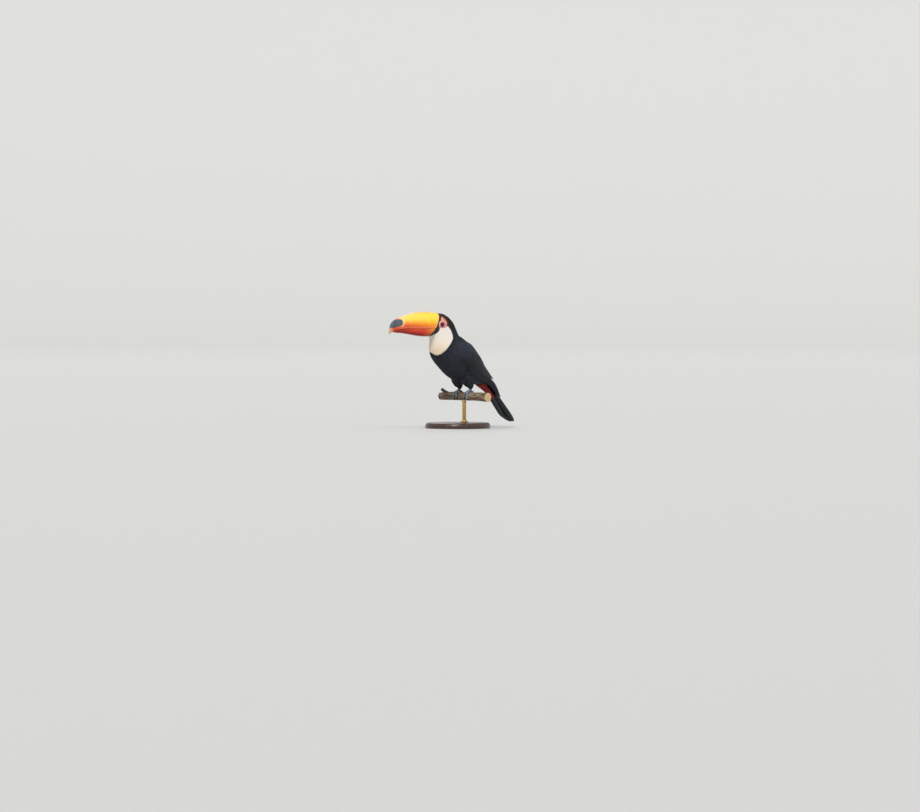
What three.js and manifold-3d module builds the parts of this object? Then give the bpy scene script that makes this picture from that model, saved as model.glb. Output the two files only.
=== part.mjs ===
// Toco toucan, life size, resting on a short cut branch that a round display stand holds up.
// Millimetres, +Z up. The bird faces -X and its left side is -Y. The origin is on the stand's underside, straight
// below the branch.
// The head, throat, neck and torso are one lofted form parted by thin cuts. Flight feathers, tail feathers
// and coverts are overlapping vanes joined to the node that they grow from.
import * as THREE from "three";
import { mergeVertices } from "three/addons/utils/BufferGeometryUtils.js";
import Module from "manifold-3d";

const wasm = await Module();
wasm.setup();

// ---------------------------------------------------------------- driving dimensions

const gap = 0.3; // between nodes that touch
const ringPoints = 28; // points round the head, neck and torso
const sides = { left: -1, right: 1 };
const rad = THREE.MathUtils.degToRad;

const perchHeight = 90; // centre of the branch above the floor
const perchRadius = 12;
const perchHalfLength = 104;
const baseRadius = 92;
const baseCentreX = -24; // the base lies under the bird's weight, in front of the rod
const baseThickness = 16;
const rodRadius = 5.5;

const bodyPitch = rad(50); // the back and tail slope down to the rear by this
const bodyOrigin = new THREE.Vector3(25, 0, 88); // where the body's own u and n axes start
const bodyU = new THREE.Vector3(Math.cos(bodyPitch), 0, -Math.sin(bodyPitch)); // towards the tail
const bodyN = new THREE.Vector3(Math.sin(bodyPitch), 0, Math.cos(bodyPitch)); // towards the back

const footSpread = 24; // each foot's distance from the middle plane
const toeRadius = 3.4;
const shankRadius = 3.9;
const eyeRadius = 8;
const eyeCentre = [-100.6, 19, 293.5]; // x, distance from the middle plane, z
const eyeForward = rad(11); // the eye's axis is turned forward by this
const tailLength = 155;
const vaneThickness = 0.6;

// Head and neck: x and z of the top line, x and z of the bottom line, half width.
const headStations = [
  [-93, 323.5, -127, 260.5, 22.8],
  [-79, 321, -124.5, 254, 25.6],
  [-61, 312.5, -122.5, 246, 28.5],
  [-47, 299, -121.5, 237, 30.5],
  [-38, 282, -121, 227, 33],
  [-29, 265, -119.5, 216, 36.5],
  [-14, 251, -115, 203, 40.5],
  [-3, 245, -102, 186, 43],
];

// Torso, square to the body's axis: u, n of the back, n of the belly, half width.
const torsoStations = [
  [-128, 83, -31, 43],
  [-110, 85, -28, 43.5],
  [-90, 85, -22, 43],
  [-70, 84, -13, 40.5],
  [-50, 83, 0, 37],
  [-32, 82, 17, 32],
  [-16, 81, 35, 26.5],
  [0, 79.5, 50, 20],
  [11, 77.5, 58, 12],
];

// The form that a folded wing lies on, laid out as the torso's: a little fuller than the torso, and behind it
// clear of the root of the tail.
const wingBed = [
  [-170, 72, -28, 38.5],
  [-150, 78, -31, 41],
  [-128, 83, -31, 43],
  [-90, 85.5, -22.5, 43.5],
  [-60, 84.5, -7.5, 40],
  [-32, 83, 16, 33.5],
  [-16, 83, 33, 29.5],
  [0, 84, 44, 26.5],
  [20, 85, 50, 26],
  [62, 85, 57, 26],
];

// Bill: the culmen's x and z, the cutting edge's x below it, half width there.
const upperBillStations = [
  [-90, 318, -112, 9.5],
  [-95, 323, -116, 21.4],
  [-110, 327.3, -128, 21.4],
  [-148, 329.3, -160, 20.4],
  [-179, 327.7, -187, 19],
  [-202, 324, -208, 17.2],
  [-226, 317.3, -229, 14.4],
  [-247, 309, -248, 11.2],
  [-261, 299, -260.5, 8.4],
  [-269.5, 287.5, -267.5, 5.6],
  [-274, 276, -271.5, 3.2],
  [-275.8, 266.5, -274.3, 0.8],
];

// Lower bill: the cutting edge's x, the lower line's x and z, half width.
const lowerBillStations = [
  [-108, -118, 264, 17],
  [-118, -129, 261, 20.8],
  [-141, -148, 260.2, 20],
  [-170, -174, 262.2, 18.6],
  [-200, -203, 266.5, 16.2],
  [-225, -227, 269.7, 13],
  [-245, -246, 271.3, 9.6],
  [-258, -258.4, 272.8, 6],
  [-264.5, -264.6, 274.6, 2.6],
];

// The bill's cutting edge: x, z.
const cuttingEdge = [
  [-100, 284],
  [-135, 284],
  [-175, 284.4],
  [-208, 285.3],
  [-232, 283.8],
  [-250, 280.3],
  [-262, 276.6],
  [-270, 272],
  [-275, 266],
];

// The white throat's edge, seen from the side: x, z. It is closed in front of the bird.
const throatOutline = [
  [-128, 284],
  [-100, 283],
  [-88, 285],
  [-78, 286],
  [-71, 277],
  [-68.5, 266],
  [-70.5, 254],
  [-77, 243.5],
  [-87, 232.5],
  [-98, 220.5],
  [-106, 212.5],
  [-113, 207],
  [-121, 203.5],
  [-160, 200],
  [-160, 284],
];

// The bare orange skin round the eye, seen from the side: x, z.
const faceOutline = [
  [-124, 281],
  [-100, 279.5],
  [-90, 281.5],
  [-84.5, 287],
  [-82.5, 296],
  [-85, 305],
  [-92, 313],
  [-101, 317.5],
  [-110, 318],
  [-124, 314],
];

const colours = {
  black: { color: 0x17191f, roughness: 0.7 },
  white: { color: 0xf1eadb, roughness: 0.85 },
  red: { color: 0xb3201a, roughness: 0.8 },
  skin: { color: 0xf08a4c, roughness: 0.6 },
  lid: { color: 0x4a4fae, roughness: 0.5 },
  eye: { color: 0x2a0f14, roughness: 0.1 },
  upperBill: { color: 0xfba21c, roughness: 0.35 },
  lowerBill: { color: 0xe3491f, roughness: 0.35 },
  leg: { color: 0x6d7f96, roughness: 0.6 },
  claw: { color: 0x22242a, roughness: 0.4 },
  bark: { color: 0x7a6a58, roughness: 0.9 },
  base: { color: 0x3a2a20, roughness: 0.5 },
  rod: { color: 0xb9a98a, roughness: 0.3, metalness: 0.9 },
};

// ---------------------------------------------------------------- curves

// The row at x of a table whose first column rises or falls, by cubic Hermite pieces.
function rowAt(table, x) {
  const last = table.length - 1;
  const order = Math.sign(table[last][0] - table[0][0]);
  let i = 0;
  while (i < last - 1 && (x - table[i + 1][0]) * order > 0) i++;
  const slope = (k, c) => {
    const a = table[Math.max(0, k - 1)];
    const b = table[Math.min(last, k + 1)];
    return (b[c] - a[c]) / (b[0] - a[0]);
  };
  const step = table[i + 1][0] - table[i][0];
  const t = THREE.MathUtils.clamp((x - table[i][0]) / step, 0, 1);
  const s = t * t * (3 - 2 * t);
  return table[i].map(
    (value, c) =>
      value * (1 - s) +
      table[i + 1][c] * s +
      step * t * (1 - t) * ((1 - t) * slope(i, c) - t * slope(i + 1, c)),
  );
}

// The same table with its row number put in front, so that rowAt can be asked for row 2.5.
const numbered = (table) => table.map((row, i) => [i, ...row]);

// Straight mix of two numbers.
const mix = (a, b, f) => a + (b - a) * f;

// count + 1 values from a to b.
const spread = (a, b, count) => Array.from({ length: count + 1 }, (_, i) => a + ((b - a) * i) / count);

// The point at u along the body, n above its axis and y to the right.
function inBody(u, n, y) {
  return bodyOrigin.clone().addScaledVector(bodyU, u).addScaledVector(bodyN, n).setY(y);
}

// ---------------------------------------------------------------- solids

// A solid from points and triangles, turned so that its faces point out.
function solidFrom(points, triangles) {
  const made = (triVerts) =>
    new wasm.Manifold(
      new wasm.Mesh({
        numProp: 3,
        vertProperties: new Float32Array(points.flatMap((p) => [p.x, p.y, p.z])),
        triVerts: new Uint32Array(triVerts.flat()),
      }),
    );
  const solid = made(triangles);
  return solid.volume() > 0 ? solid : made(triangles.map(([a, b, c]) => [a, c, b]));
}

// A three.js geometry as a solid.
function solidOf(geometry) {
  const bare = geometry.index ? geometry.toNonIndexed() : geometry.clone();
  bare.deleteAttribute("normal");
  bare.deleteAttribute("uv");
  const merged = mergeVertices(bare, 1e-3);
  const place = merged.getAttribute("position");
  const points = Array.from({ length: place.count }, (_, i) => new THREE.Vector3().fromBufferAttribute(place, i));
  const index = Array.from(merged.index.array);
  const triangles = [];
  for (let i = 0; i < index.length; i += 3) triangles.push(index.slice(i, i + 3));
  return solidFrom(points, triangles);
}

// A closed form through rings of as many points each, with a fan over each end.
function loft(rings) {
  const count = rings[0].length;
  const points = rings.flat();
  const triangles = [];
  for (let i = 0; i + 1 < rings.length; i++)
    for (let j = 0; j < count; j++) {
      const a = i * count + j;
      const b = i * count + ((j + 1) % count);
      triangles.push([a, b, b + count], [a, b + count, a + count]);
    }
  const closeEnd = (ring, start, turned) => {
    const centre = points.length;
    points.push(ring.reduce((sum, p) => sum.add(p), new THREE.Vector3()).divideScalar(count));
    for (let j = 0; j < count; j++) {
      const edge = [start + j, start + ((j + 1) % count)];
      triangles.push(turned ? [centre, edge[1], edge[0]] : [centre, edge[0], edge[1]]);
    }
  };
  closeEnd(rings[0], 0, true);
  closeEnd(rings[rings.length - 1], (rings.length - 1) * count, false);
  return solidFrom(points, triangles);
}

// A ring round a centre in the plane of two half axes.
function ellipse(centre, across, up, count) {
  return spread(0, 2 * Math.PI, count)
    .slice(0, count)
    .map((a) => centre.clone().addScaledVector(across, Math.sin(a)).addScaledVector(up, Math.cos(a)));
}

// A round bar through stations of x, y, z and radius.
function bar(stations, count) {
  const centres = stations.map(([x, y, z]) => new THREE.Vector3(x, y, z));
  return loft(
    centres.map((centre, i) => {
      const ahead = centres[Math.min(i + 1, centres.length - 1)];
      const along = ahead.clone().sub(centres[Math.max(i - 1, 0)]).normalize();
      const across = new THREE.Vector3(0, 1, 0).addScaledVector(along, -along.y);
      if (across.length() < 0.1) across.set(1, 0, 0);
      across.normalize();
      const up = along.clone().cross(across);
      const r = stations[i][3];
      return ellipse(centre, across.multiplyScalar(r), up.multiplyScalar(r), count);
    }),
  );
}

// A thin closed form between two grids of points. Both faces are split along the same diagonals.
function sheet(top, bottom) {
  const rows = top.length;
  const columns = top[0].length;
  const points = [...top.flat(), ...bottom.flat()];
  const at = (i, j) => i * columns + j;
  const under = rows * columns;
  const triangles = [];
  for (let i = 0; i + 1 < rows; i++)
    for (let j = 0; j + 1 < columns; j++) {
      const [a, b, c, d] = [at(i, j), at(i + 1, j), at(i + 1, j + 1), at(i, j + 1)];
      triangles.push([a, b, c], [a, c, d]);
      triangles.push([a + under, c + under, b + under], [a + under, d + under, c + under]);
    }
  const rim = [];
  for (let i = 0; i < rows - 1; i++) rim.push(at(i, 0));
  for (let j = 0; j < columns - 1; j++) rim.push(at(rows - 1, j));
  for (let i = rows - 1; i > 0; i--) rim.push(at(i, columns - 1));
  for (let j = columns - 1; j > 0; j--) rim.push(at(0, j));
  rim.forEach((p, k) => {
    const q = rim[(k + 1) % rim.length];
    triangles.push([q, p, p + under], [q, p + under, q + under]);
  });
  return solidFrom(points, triangles);
}

// A prism along y of a closed outline of x and z, from y0 to y1. grow moves its edge outwards.
function prism(outline, y0, y1, grow = 0) {
  const middle = outline.reduce((sum, [x, z]) => sum.add(new THREE.Vector2(x, z)), new THREE.Vector2());
  middle.divideScalar(outline.length);
  const edge = outline.map(([x, z]) => {
    const out = new THREE.Vector2(x, z).sub(middle);
    return out.setLength(out.length() + grow).add(middle);
  });
  const geometry = new THREE.ExtrudeGeometry(new THREE.Shape(edge), { depth: y1 - y0, bevelEnabled: false });
  return solidOf(geometry.rotateX(Math.PI / 2).translate(0, y1, 0));
}

// A form turned about an axis that starts at centre and runs along direction; profile holds radius and height.
function turned(profile, centre, direction, segments) {
  const outline = profile.map(([r, h]) => new THREE.Vector2(r, h));
  const turn = new THREE.Quaternion().setFromUnitVectors(new THREE.Vector3(0, 1, 0), direction);
  const geometry = new THREE.LatheGeometry(outline, segments).applyQuaternion(turn);
  return solidOf(geometry.translate(centre.x, centre.y, centre.z));
}

const join = (pieces) => pieces.reduce((sum, piece) => sum.add(piece));

// The largest closed body of a solid: a cut or a join can leave loose scraps.
function largest(solid) {
  return solid.decompose().reduce((best, body) => (body.volume() > best.volume() ? body : best));
}

const model = new THREE.Group();

// Adds a solid to the model as a named mesh.
function addNode(name, solid, colour) {
  const { numProp, numVert, vertProperties, triVerts } = largest(solid).getMesh();
  const place = new Float32Array(numVert * 3);
  for (let i = 0; i < numVert; i++) place.set(vertProperties.subarray(i * numProp, i * numProp + 3), i * 3);
  const geometry = new THREE.BufferGeometry();
  geometry.setAttribute("position", new THREE.BufferAttribute(place, 3));
  geometry.setIndex(new THREE.BufferAttribute(new Uint32Array(triVerts), 1));
  geometry.computeVertexNormals();
  const mesh = new THREE.Mesh(geometry, new THREE.MeshStandardMaterial(colour));
  mesh.name = name;
  model.add(mesh);
}

// ---------------------------------------------------------------- head, throat, neck and torso

const torsoLines = torsoStations.map(([u, back, belly, width]) => {
  const top = inBody(u, back, 0);
  const low = inBody(u, belly, 0);
  return [top.x, top.z, low.x, low.z, width];
});
const bodyTable = numbered([...headStations, ...torsoLines]);

// How far the feathered face reaches forward over the bill's root, at an angle from the crown.
function cheekBulge(angle) {
  const a = Math.min(angle, 2 * Math.PI - angle);
  return 4 * Math.sin(a) ** 2 + 5 * Math.max(0, Math.sin(2 * a));
}

const neckEnd = headStations.length;
const bodyRows = [...spread(0, neckEnd, 2 * neckEnd), ...spread(neckEnd + 1, bodyTable.length - 1, 7)];

// The whole form from the bill's root to the tail's, with its surface moved out by grow and its front by front.
function bodyForm(grow, front = 0) {
  const rings = bodyRows.map((row) => {
    const [, topX, topZ, lowX, lowZ, width] = rowAt(bodyTable, row);
    const up = new THREE.Vector3(topX - lowX, 0, topZ - lowZ).multiplyScalar(0.5);
    const centre = new THREE.Vector3(topX + lowX, 0, topZ + lowZ).multiplyScalar(0.5);
    up.setLength(up.length() + grow);
    const ring = ellipse(centre, new THREE.Vector3(0, width + grow, 0), up, ringPoints);
    const fade = Math.max(0, 1 - row / 1.5);
    ring.forEach((point, i) => {
      point.x -= fade * cheekBulge((2 * Math.PI * i) / ringPoints) + (row === 0 ? front : 0);
    });
    return ring;
  });
  return loft(rings);
}

const body = bodyForm(0);
const bodyRoom = bodyForm(gap); // what lies on the body is cut by this

// ---------------------------------------------------------------- eyes and lids

const lidProfile = [
  [5.7, 6.2],
  [6.1, 7.4],
  [7.8, 7.9],
  [9.2, 7.2],
  [9.8, 6],
  [9.8, 1.6],
  [8.5, 1.6],
  [8.4, 3.4],
  [7, 4.8],
];
const lidSeat = [
  [0, 1.3],
  [10.2, 1.3],
  [10.2, 14],
  [0, 14],
];
const eyeRooms = [];
for (const [name, side] of Object.entries(sides)) {
  const centre = new THREE.Vector3(eyeCentre[0], side * eyeCentre[1], eyeCentre[2]);
  const outward = new THREE.Vector3(-Math.sin(eyeForward), side * Math.cos(eyeForward), 0);
  const ball = (radius, segments) =>
    solidOf(new THREE.SphereGeometry(radius, segments, 0.7 * segments).translate(...centre));
  addNode("eye_" + name, ball(eyeRadius, 14), colours.eye);
  addNode("eyelid_" + name, turned([...lidProfile, lidProfile[0]], centre, outward, 16), colours.lid);
  eyeRooms.push(ball(eyeRadius + 3 * gap, 10), turned(lidSeat, centre, outward, 16));
}

// ---------------------------------------------------------------- bill

const nostril = { at: [-99.5, 9.5, 323], size: [3, 2, 1.8] }; // a pit on either side of the bill's root
const edgeZ = (x) => rowAt(cuttingEdge, x)[1];

// Upper bill: arched rings whose flat undersides lie on the cutting edge, or lower than it by sink.
function upperBillForm(grow, sink = grow) {
  const archPoints = 12;
  const table = numbered(upperBillStations);
  const rings = spread(0, table.length - 1, 2 * (table.length - 1)).map((row) => {
    const [, topX, topZ, edgeX, width] = rowAt(table, row);
    const back = row === 0 ? 2 * grow : 0;
    const foot = new THREE.Vector3(edgeX, 0, edgeZ(edgeX));
    const rise = new THREE.Vector3(topX, 0, topZ).sub(foot);
    rise.setLength(rise.length() + grow);
    return spread(0, Math.PI, archPoints).map((a) => {
      const across = Math.sign(Math.cos(a)) * Math.abs(Math.cos(a)) ** 0.85;
      const point = foot.clone().addScaledVector(rise, Math.sin(a) ** 0.9).setY(across * (width + grow));
      point.x += back;
      if (a === 0 || a === Math.PI) point.z -= sink;
      return point;
    });
  });
  return loft(rings);
}

// Lower bill: keel-shaped rings whose flat tops lie just under the cutting edge.
function lowerBillForm(grow) {
  const keelPoints = 10;
  const table = numbered(lowerBillStations);
  const rings = spread(0, table.length - 1, 2 * (table.length - 1)).map((row) => {
    const [, edgeX, lowX, lowZ, width] = rowAt(table, row);
    const back = row === 0 ? 2 * grow : 0;
    const rim = new THREE.Vector3(edgeX + back, 0, edgeZ(edgeX) - 2 * gap + grow);
    const drop = new THREE.Vector3(lowX + back, 0, lowZ - grow).sub(rim);
    return spread(0, Math.PI, keelPoints).map((a) => {
      const across = Math.sign(Math.cos(a)) * Math.abs(Math.cos(a)) ** 0.7;
      return rim.clone().addScaledVector(drop, Math.sin(a) ** 0.9).setY(across * (width + grow));
    });
  });
  return loft(rings);
}

const nostrils = Object.values(sides).map((side) => {
  const [x, y, z] = nostril.at;
  return solidOf(new THREE.SphereGeometry(1, 8, 6).scale(...nostril.size).translate(x, side * y, z));
});
addNode("bill_upper", upperBillForm(0).subtract(join([...nostrils, ...eyeRooms])), colours.upperBill);
addNode("bill_lower", lowerBillForm(0).subtract(upperBillForm(gap)), colours.lowerBill);
const sockets = join([upperBillForm(gap, 3 * gap), lowerBillForm(gap), ...eyeRooms]);

// ---------------------------------------------------------------- parting the body into nodes

const faceDepth = 2.4; // thickness of the bare skin
const wide = 60; // beyond the body on either side
const faceInner = 8; // the bare skin starts this far from the middle plane
const headCut = { from: [-42, 291], to: [-72, 283] }; // x and z of the line between head and nape
const torsoCut = { from: [-17, 256], to: [-118, 197] }; // and of the line between neck and torso

// The part of a solid on one side of a line seen from the side: side 1 is above the line, -1 below it.
function besideLine(solid, line, side) {
  const [x0, z0] = line.from;
  const along = new THREE.Vector2(line.to[0] - x0, line.to[1] - z0).normalize();
  const normal = new THREE.Vector2(along.y, -along.x).multiplyScalar(side);
  return solid.trimByPlane([normal.x, 0, normal.y], normal.x * x0 + normal.y * z0 + gap / 2);
}

const faceSkin = body.subtract(bodyForm(-faceDepth, faceDepth));
const faceBed = bodyForm(gap, 1).subtract(bodyForm(-faceDepth - gap, 2 * faceDepth));
const facePrisms = [prism(faceOutline, -wide, -faceInner, gap), prism(faceOutline, faceInner, wide, gap)];
const faceRoom = faceBed.intersect(join(facePrisms));
for (const [name, side] of Object.entries(sides)) {
  const [y0, y1] = [side * (faceInner + gap), side * wide].sort((a, b) => a - b);
  addNode("face_" + name, faceSkin.intersect(prism(faceOutline, y0, y1)).subtract(sockets), colours.skin);
}
const feathered = body.subtract(faceRoom).subtract(sockets);
const throat = feathered.intersect(prism(throatOutline, -wide, wide, -gap));
const aroundThroat = feathered.subtract(prism(throatOutline, -wide, wide));
const belowHead = besideLine(aroundThroat, headCut, -1);
addNode("head", besideLine(aroundThroat, headCut, 1), colours.black);
addNode("throat", throat, colours.white);
addNode("neck", besideLine(belowHead, torsoCut, 1), colours.black);
addNode("torso", besideLine(belowHead, torsoCut, -1), colours.black);

// ---------------------------------------------------------------- wings

// The point on a folded wing's bed at u, turned by degrees from the back, and height above the bed.
function onWing(side, u, degrees, height) {
  const [, top, low, width] = rowAt(wingBed, u);
  const angle = rad(degrees);
  const deep = (top - low) / 2;
  const out = new THREE.Vector2(Math.cos(angle) / deep, Math.sin(angle) / width).normalize();
  const n = low + deep + deep * Math.cos(angle) + height * out.x;
  return inBody(u, n, side * (width * Math.sin(angle) + height * out.y));
}

// Degrees round the wing's bed at u for each millimetre.
function degreesPerMillimetre(u) {
  const [, top, low, width] = rowAt(wingBed, u);
  return 180 / Math.PI / (((top - low) / 2 + width) / 2);
}

// Where along a vane its rows of points lie, as a share of its length, and its width there.
const vaneRows = [
  [0, 0.7],
  [0.45, 1],
  [0.88, 0.9],
  [1, 0.34],
];
const quillRise = 0.3; // the middle of a vane stands higher than its edges by this
const tipRounding = 1.8; // the edges of a vane end earlier than its quill by this

// A vane through rows of points that place(share, across) gives as [centre, outward]; across runs from -1 to 1.
function vane(place) {
  const faces = [0.5, -0.5].map((half) =>
    vaneRows.map(([share, width]) =>
      [-1, 0, 1].map((k) => {
        const early = k !== 0 && share > 0.9 ? tipRounding : 0;
        return place(share, k * width, early, (k === 0 ? quillRise : 0) + half * vaneThickness);
      }),
    ),
  );
  return sheet(...faces);
}

// A feather of the wing from root to tip, each [u, degrees, height]. Its lower edge stands higher than its
// upper edge by tilt, so that it lies over the next feather down.
function wingFeather(side, root, tip, width, tilt) {
  return vane((share, across, early, rise) => {
    const [u, degrees, height] = root.map((value, i) => mix(value, tip[i], share));
    const turn = (across * width * degreesPerMillimetre(u)) / 2;
    return onWing(side, u - early, degrees + turn, height + (across * tilt) / 2 + rise);
  });
}

// A tier of feathers: layOut gives each one's root, tip, width and tilt at a share of the way down the tier.
function tier(side, count, layOut) {
  return spread(0, 1, count - 1).map((share) => wingFeather(side, ...layOut(share)));
}

// The fleshy front of the wing, under the coverts: u, height, and the degrees of its upper and lower edges.
const wingArmStations = [
  [-166, 0.4, 66, 84],
  [-161, 3.4, 52, 94],
  [-150, 5.4, 38, 101],
  [-132, 5.8, 26, 106],
  [-112, 5.2, 24, 109],
  [-92, 4.2, 26, 110],
  [-76, 3, 28, 110],
  [-66, 1.2, 32, 107],
];
const armDepth = 2.2; // the wing's underside lies this deep before the torso is cut from it
const armEdgeDrop = 0.85; // share of its height that the arm loses towards its edges

// Height of the wing's front over the bed at a share across it, from -1 at the upper edge to 1.
const armRise = (rise, across) => rise * (1 - armEdgeDrop * across ** 4);

function wingArm(side) {
  const columns = spread(-1, 1, 6);
  const rowsOf = (height) =>
    wingArmStations.map(([u, rise, upper, lower]) =>
      columns.map((across) => onWing(side, u, mix(upper, lower, (across + 1) / 2), height(rise, across))),
    );
  return sheet(
    rowsOf(armRise),
    rowsOf(() => -armDepth),
  );
}

// A feather's root, sunk half way into the wing's front.
function rootAt(u, degrees) {
  const [, rise, upper, lower] = rowAt(wingArmStations, u);
  const across = THREE.MathUtils.clamp((2 * (degrees - upper)) / (lower - upper) - 1, -1, 1);
  return [u, degrees, armRise(rise, across) / 2];
}

for (const [name, side] of Object.entries(sides)) {
  const primaries = tier(side, 5, (f) => [
    rootAt(-82, mix(85, 106, f)),
    [mix(22, 58, f), mix(70, 102, f), 2.4],
    11,
    2.9,
  ]);
  const secondaries = tier(side, 4, (f) => [
    rootAt(-84, mix(61, 84, f)),
    [mix(3, -14, f), mix(51, 80, f), 4.2],
    12.5,
    2.8,
  ]);
  const tertials = tier(side, 3, (f) => [
    rootAt(-88, mix(36, 53, f)),
    [mix(-14, 4, f), mix(22, 40, f), 4.2],
    14,
    2.9,
  ]);
  const greaterCoverts = tier(side, 5, (f) => [
    rootAt(-112, mix(47, 98, f)),
    [mix(-58, -70, f), mix(45, 100, f), 5.8],
    15,
    1.8,
  ]);
  const medianCoverts = tier(side, 4, (f) => [
    rootAt(-138, mix(52, 91, f)),
    [mix(-94, -102, f), mix(50, 95, f), 7],
    17,
    1.8,
  ]);
  const scapulars = tier(side, 3, (f) => [
    [-128, mix(30, 50, f), 1.9],
    [mix(-62, -80, f), mix(16, 36, f), 4.4],
    16,
    2.8,
  ]);
  const feathers = [primaries, secondaries, tertials, greaterCoverts, medianCoverts, scapulars].flat();
  addNode("wing_" + name, join([wingArm(side), ...feathers]).subtract(bodyRoom), colours.black);
}

// ---------------------------------------------------------------- tail and its coverts

// A straight feather from start to end, each [u, n, y]. Its edges lie lower than its quill by droop.
function straightFeather(start, end, width, droop) {
  return vane((share, across, early, rise) => {
    const [u, n, y] = start.map((value, i) => mix(value, end[i], share));
    return inBody(u - 2 * early, n + rise - droop * Math.abs(across), y + (across * width) / 2);
  });
}

// A smooth form along the body's axis through stations of u, top n, lower n and half width.
function axisForm(stations) {
  const rings = stations.map(([u, top, low, width]) => {
    const up = bodyN.clone().multiplyScalar((top - low) / 2);
    return ellipse(inBody(u, (top + low) / 2, 0), new THREE.Vector3(0, width, 0), up, 12);
  });
  return loft(rings);
}

const tailPairs = 5;
const tailTop = 72; // n of the topmost tail feather
const tailStep = 1.1; // each tail feather lies lower than the one above by this
const rectrices = [];
for (let pair = 0; pair < tailPairs; pair++)
  Object.values(sides).forEach((side, second) => {
    const level = tailTop - tailStep * (2 * pair + second);
    const length = tailLength - 1.2 * pair ** 2;
    const y = 2 + 1.7 * pair;
    const splay = length * Math.tan(rad(0.4 + 0.85 * pair));
    rectrices.push(straightFeather([9, level, side * y], [length, level, side * (y + splay)], 25, 0.1));
  });
const tailRoot = axisForm([
  [2, 73, 61, 8],
  [9, 73.2, 60.6, 13],
  [20, 72.8, 61, 13.5],
  [27, 71.6, 62.5, 10],
]);
addNode("tail", join([tailRoot, ...rectrices]).subtract(bodyRoom), colours.black);

const rumpRoot = axisForm([
  [-6, 82.8, 72, 12],
  [8, 82.4, 74, 16],
  [22, 80.4, 74, 15],
  [34, 77.6, 74.2, 10],
]);
const ventRoot = axisForm([
  [-12, 58, 35, 14],
  [-2, 59.5, 41, 16.5],
  [14, 60, 47, 15],
  [30, 60, 54, 9],
]);
const rumpFeathers = [];
const ventFeathers = [];
for (const y of [-11.6, -3.9, 3.9, 11.6]) {
  const short = 0.6 * Math.abs(y);
  const round = 0.016 * y * y;
  rumpFeathers.push(straightFeather([20, 78.4 - round, 0.7 * y], [58 - short, 75.4, y], 9.5, 0.3));
  ventFeathers.push(straightFeather([16, 52.6 + round, 0.7 * y], [60 - short, 59.2, y], 9.5, -0.3));
}
for (const y of [-8, 0, 8]) {
  const short = 0.8 * Math.abs(y);
  const round = 0.02 * y * y;
  rumpFeathers.push(straightFeather([2, 81.2 - round, 0.8 * y], [38 - short, 80.6 - round, y], 10, 0.3));
  ventFeathers.push(straightFeather([0, 44 + round, 0.8 * y], [38 - short, 51.4 + round, y], 10, -0.3));
}
addNode("rump", join([rumpRoot, ...rumpFeathers]).subtract(bodyRoom), colours.white);
addNode("vent", join([ventRoot, ...ventFeathers]).subtract(bodyRoom), colours.red);

// ---------------------------------------------------------------- legs

const perchTop = perchHeight + perchRadius;
const toeEndRadius = 2.5;
const clawTurn = 34; // degrees of the branch's circumference
const clawGap = 5; // degrees between a toe's end and its claw
// Each toe: degrees round the branch from the top, forwards if positive, and its sideways reach.
const toes = [
  { turn: 112, reach: 8 },
  { turn: 94, reach: -7 },
  { turn: -98, reach: 8.5 },
  { turn: -76, reach: -6 },
];

// A station of a bar that lies on the branch: degrees from the top, and y.
function onPerch(degrees, y, radius) {
  const a = rad(degrees);
  const reach = perchRadius + gap + radius;
  return [-reach * Math.sin(a), y, perchHeight + reach * Math.cos(a), radius];
}

const perchRoom = bar(
  [-perchHalfLength, perchHalfLength].map((y) => [0, y, perchHeight, perchRadius + gap]),
  40,
);

for (const [name, side] of Object.entries(sides)) {
  const y = side * footSpread;
  const shankStations = [
    [0.5, y, perchTop + 2, shankRadius + 0.6],
    [1.5, y, perchTop + 9, shankRadius],
    [4, y + side * 0.5, perchTop + 22, shankRadius],
  ];
  const shank = (grow) => bar(shankStations.map(([px, py, pz, r]) => [px, py, pz, r + grow]), 10);
  const sole = solidOf(new THREE.SphereGeometry(1, 10, 7).scale(7, 6.2, 5).translate(0, y, perchTop + 3.6));
  const digits = toes.map(({ turn, reach }) =>
    bar(
      spread(0, 1, 5).map((f) => {
        const pad = 0.2 * (1 - Math.cos(f * 6 * Math.PI));
        return onPerch(turn * f, y + side * reach * f, mix(toeRadius, toeEndRadius, f) - pad);
      }),
      7,
    ),
  );
  addNode("leg_" + name, join([sole.subtract(perchRoom), shank(0), ...digits]), colours.leg);
  toes.forEach(({ turn, reach }, number) => {
    const start = turn + Math.sign(turn) * clawGap;
    const stations = spread(0, 1, 3).map((f) => {
      const angle = start + Math.sign(turn) * clawTurn * f;
      return onPerch(angle, y + side * reach * (1 + 0.1 * f), mix(2, 0.35, f));
    });
    addNode("claw_" + name + "_" + (number + 1), bar(stations, 6), colours.claw);
  });
  const thigh = bar(
    [
      [-15, side * 16, 154, 14],
      [-9, side * 20.5, 139, 17.5],
      [-2, side * 23.5, 127, 15.5],
      [2.4, y, 118.6, 10.5],
      [3, y, 114, 6.4],
    ],
    14,
  );
  addNode("thigh_" + name, thigh.subtract(bodyRoom).subtract(shank(gap)), colours.black);
}

// ---------------------------------------------------------------- perch and stand

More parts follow.
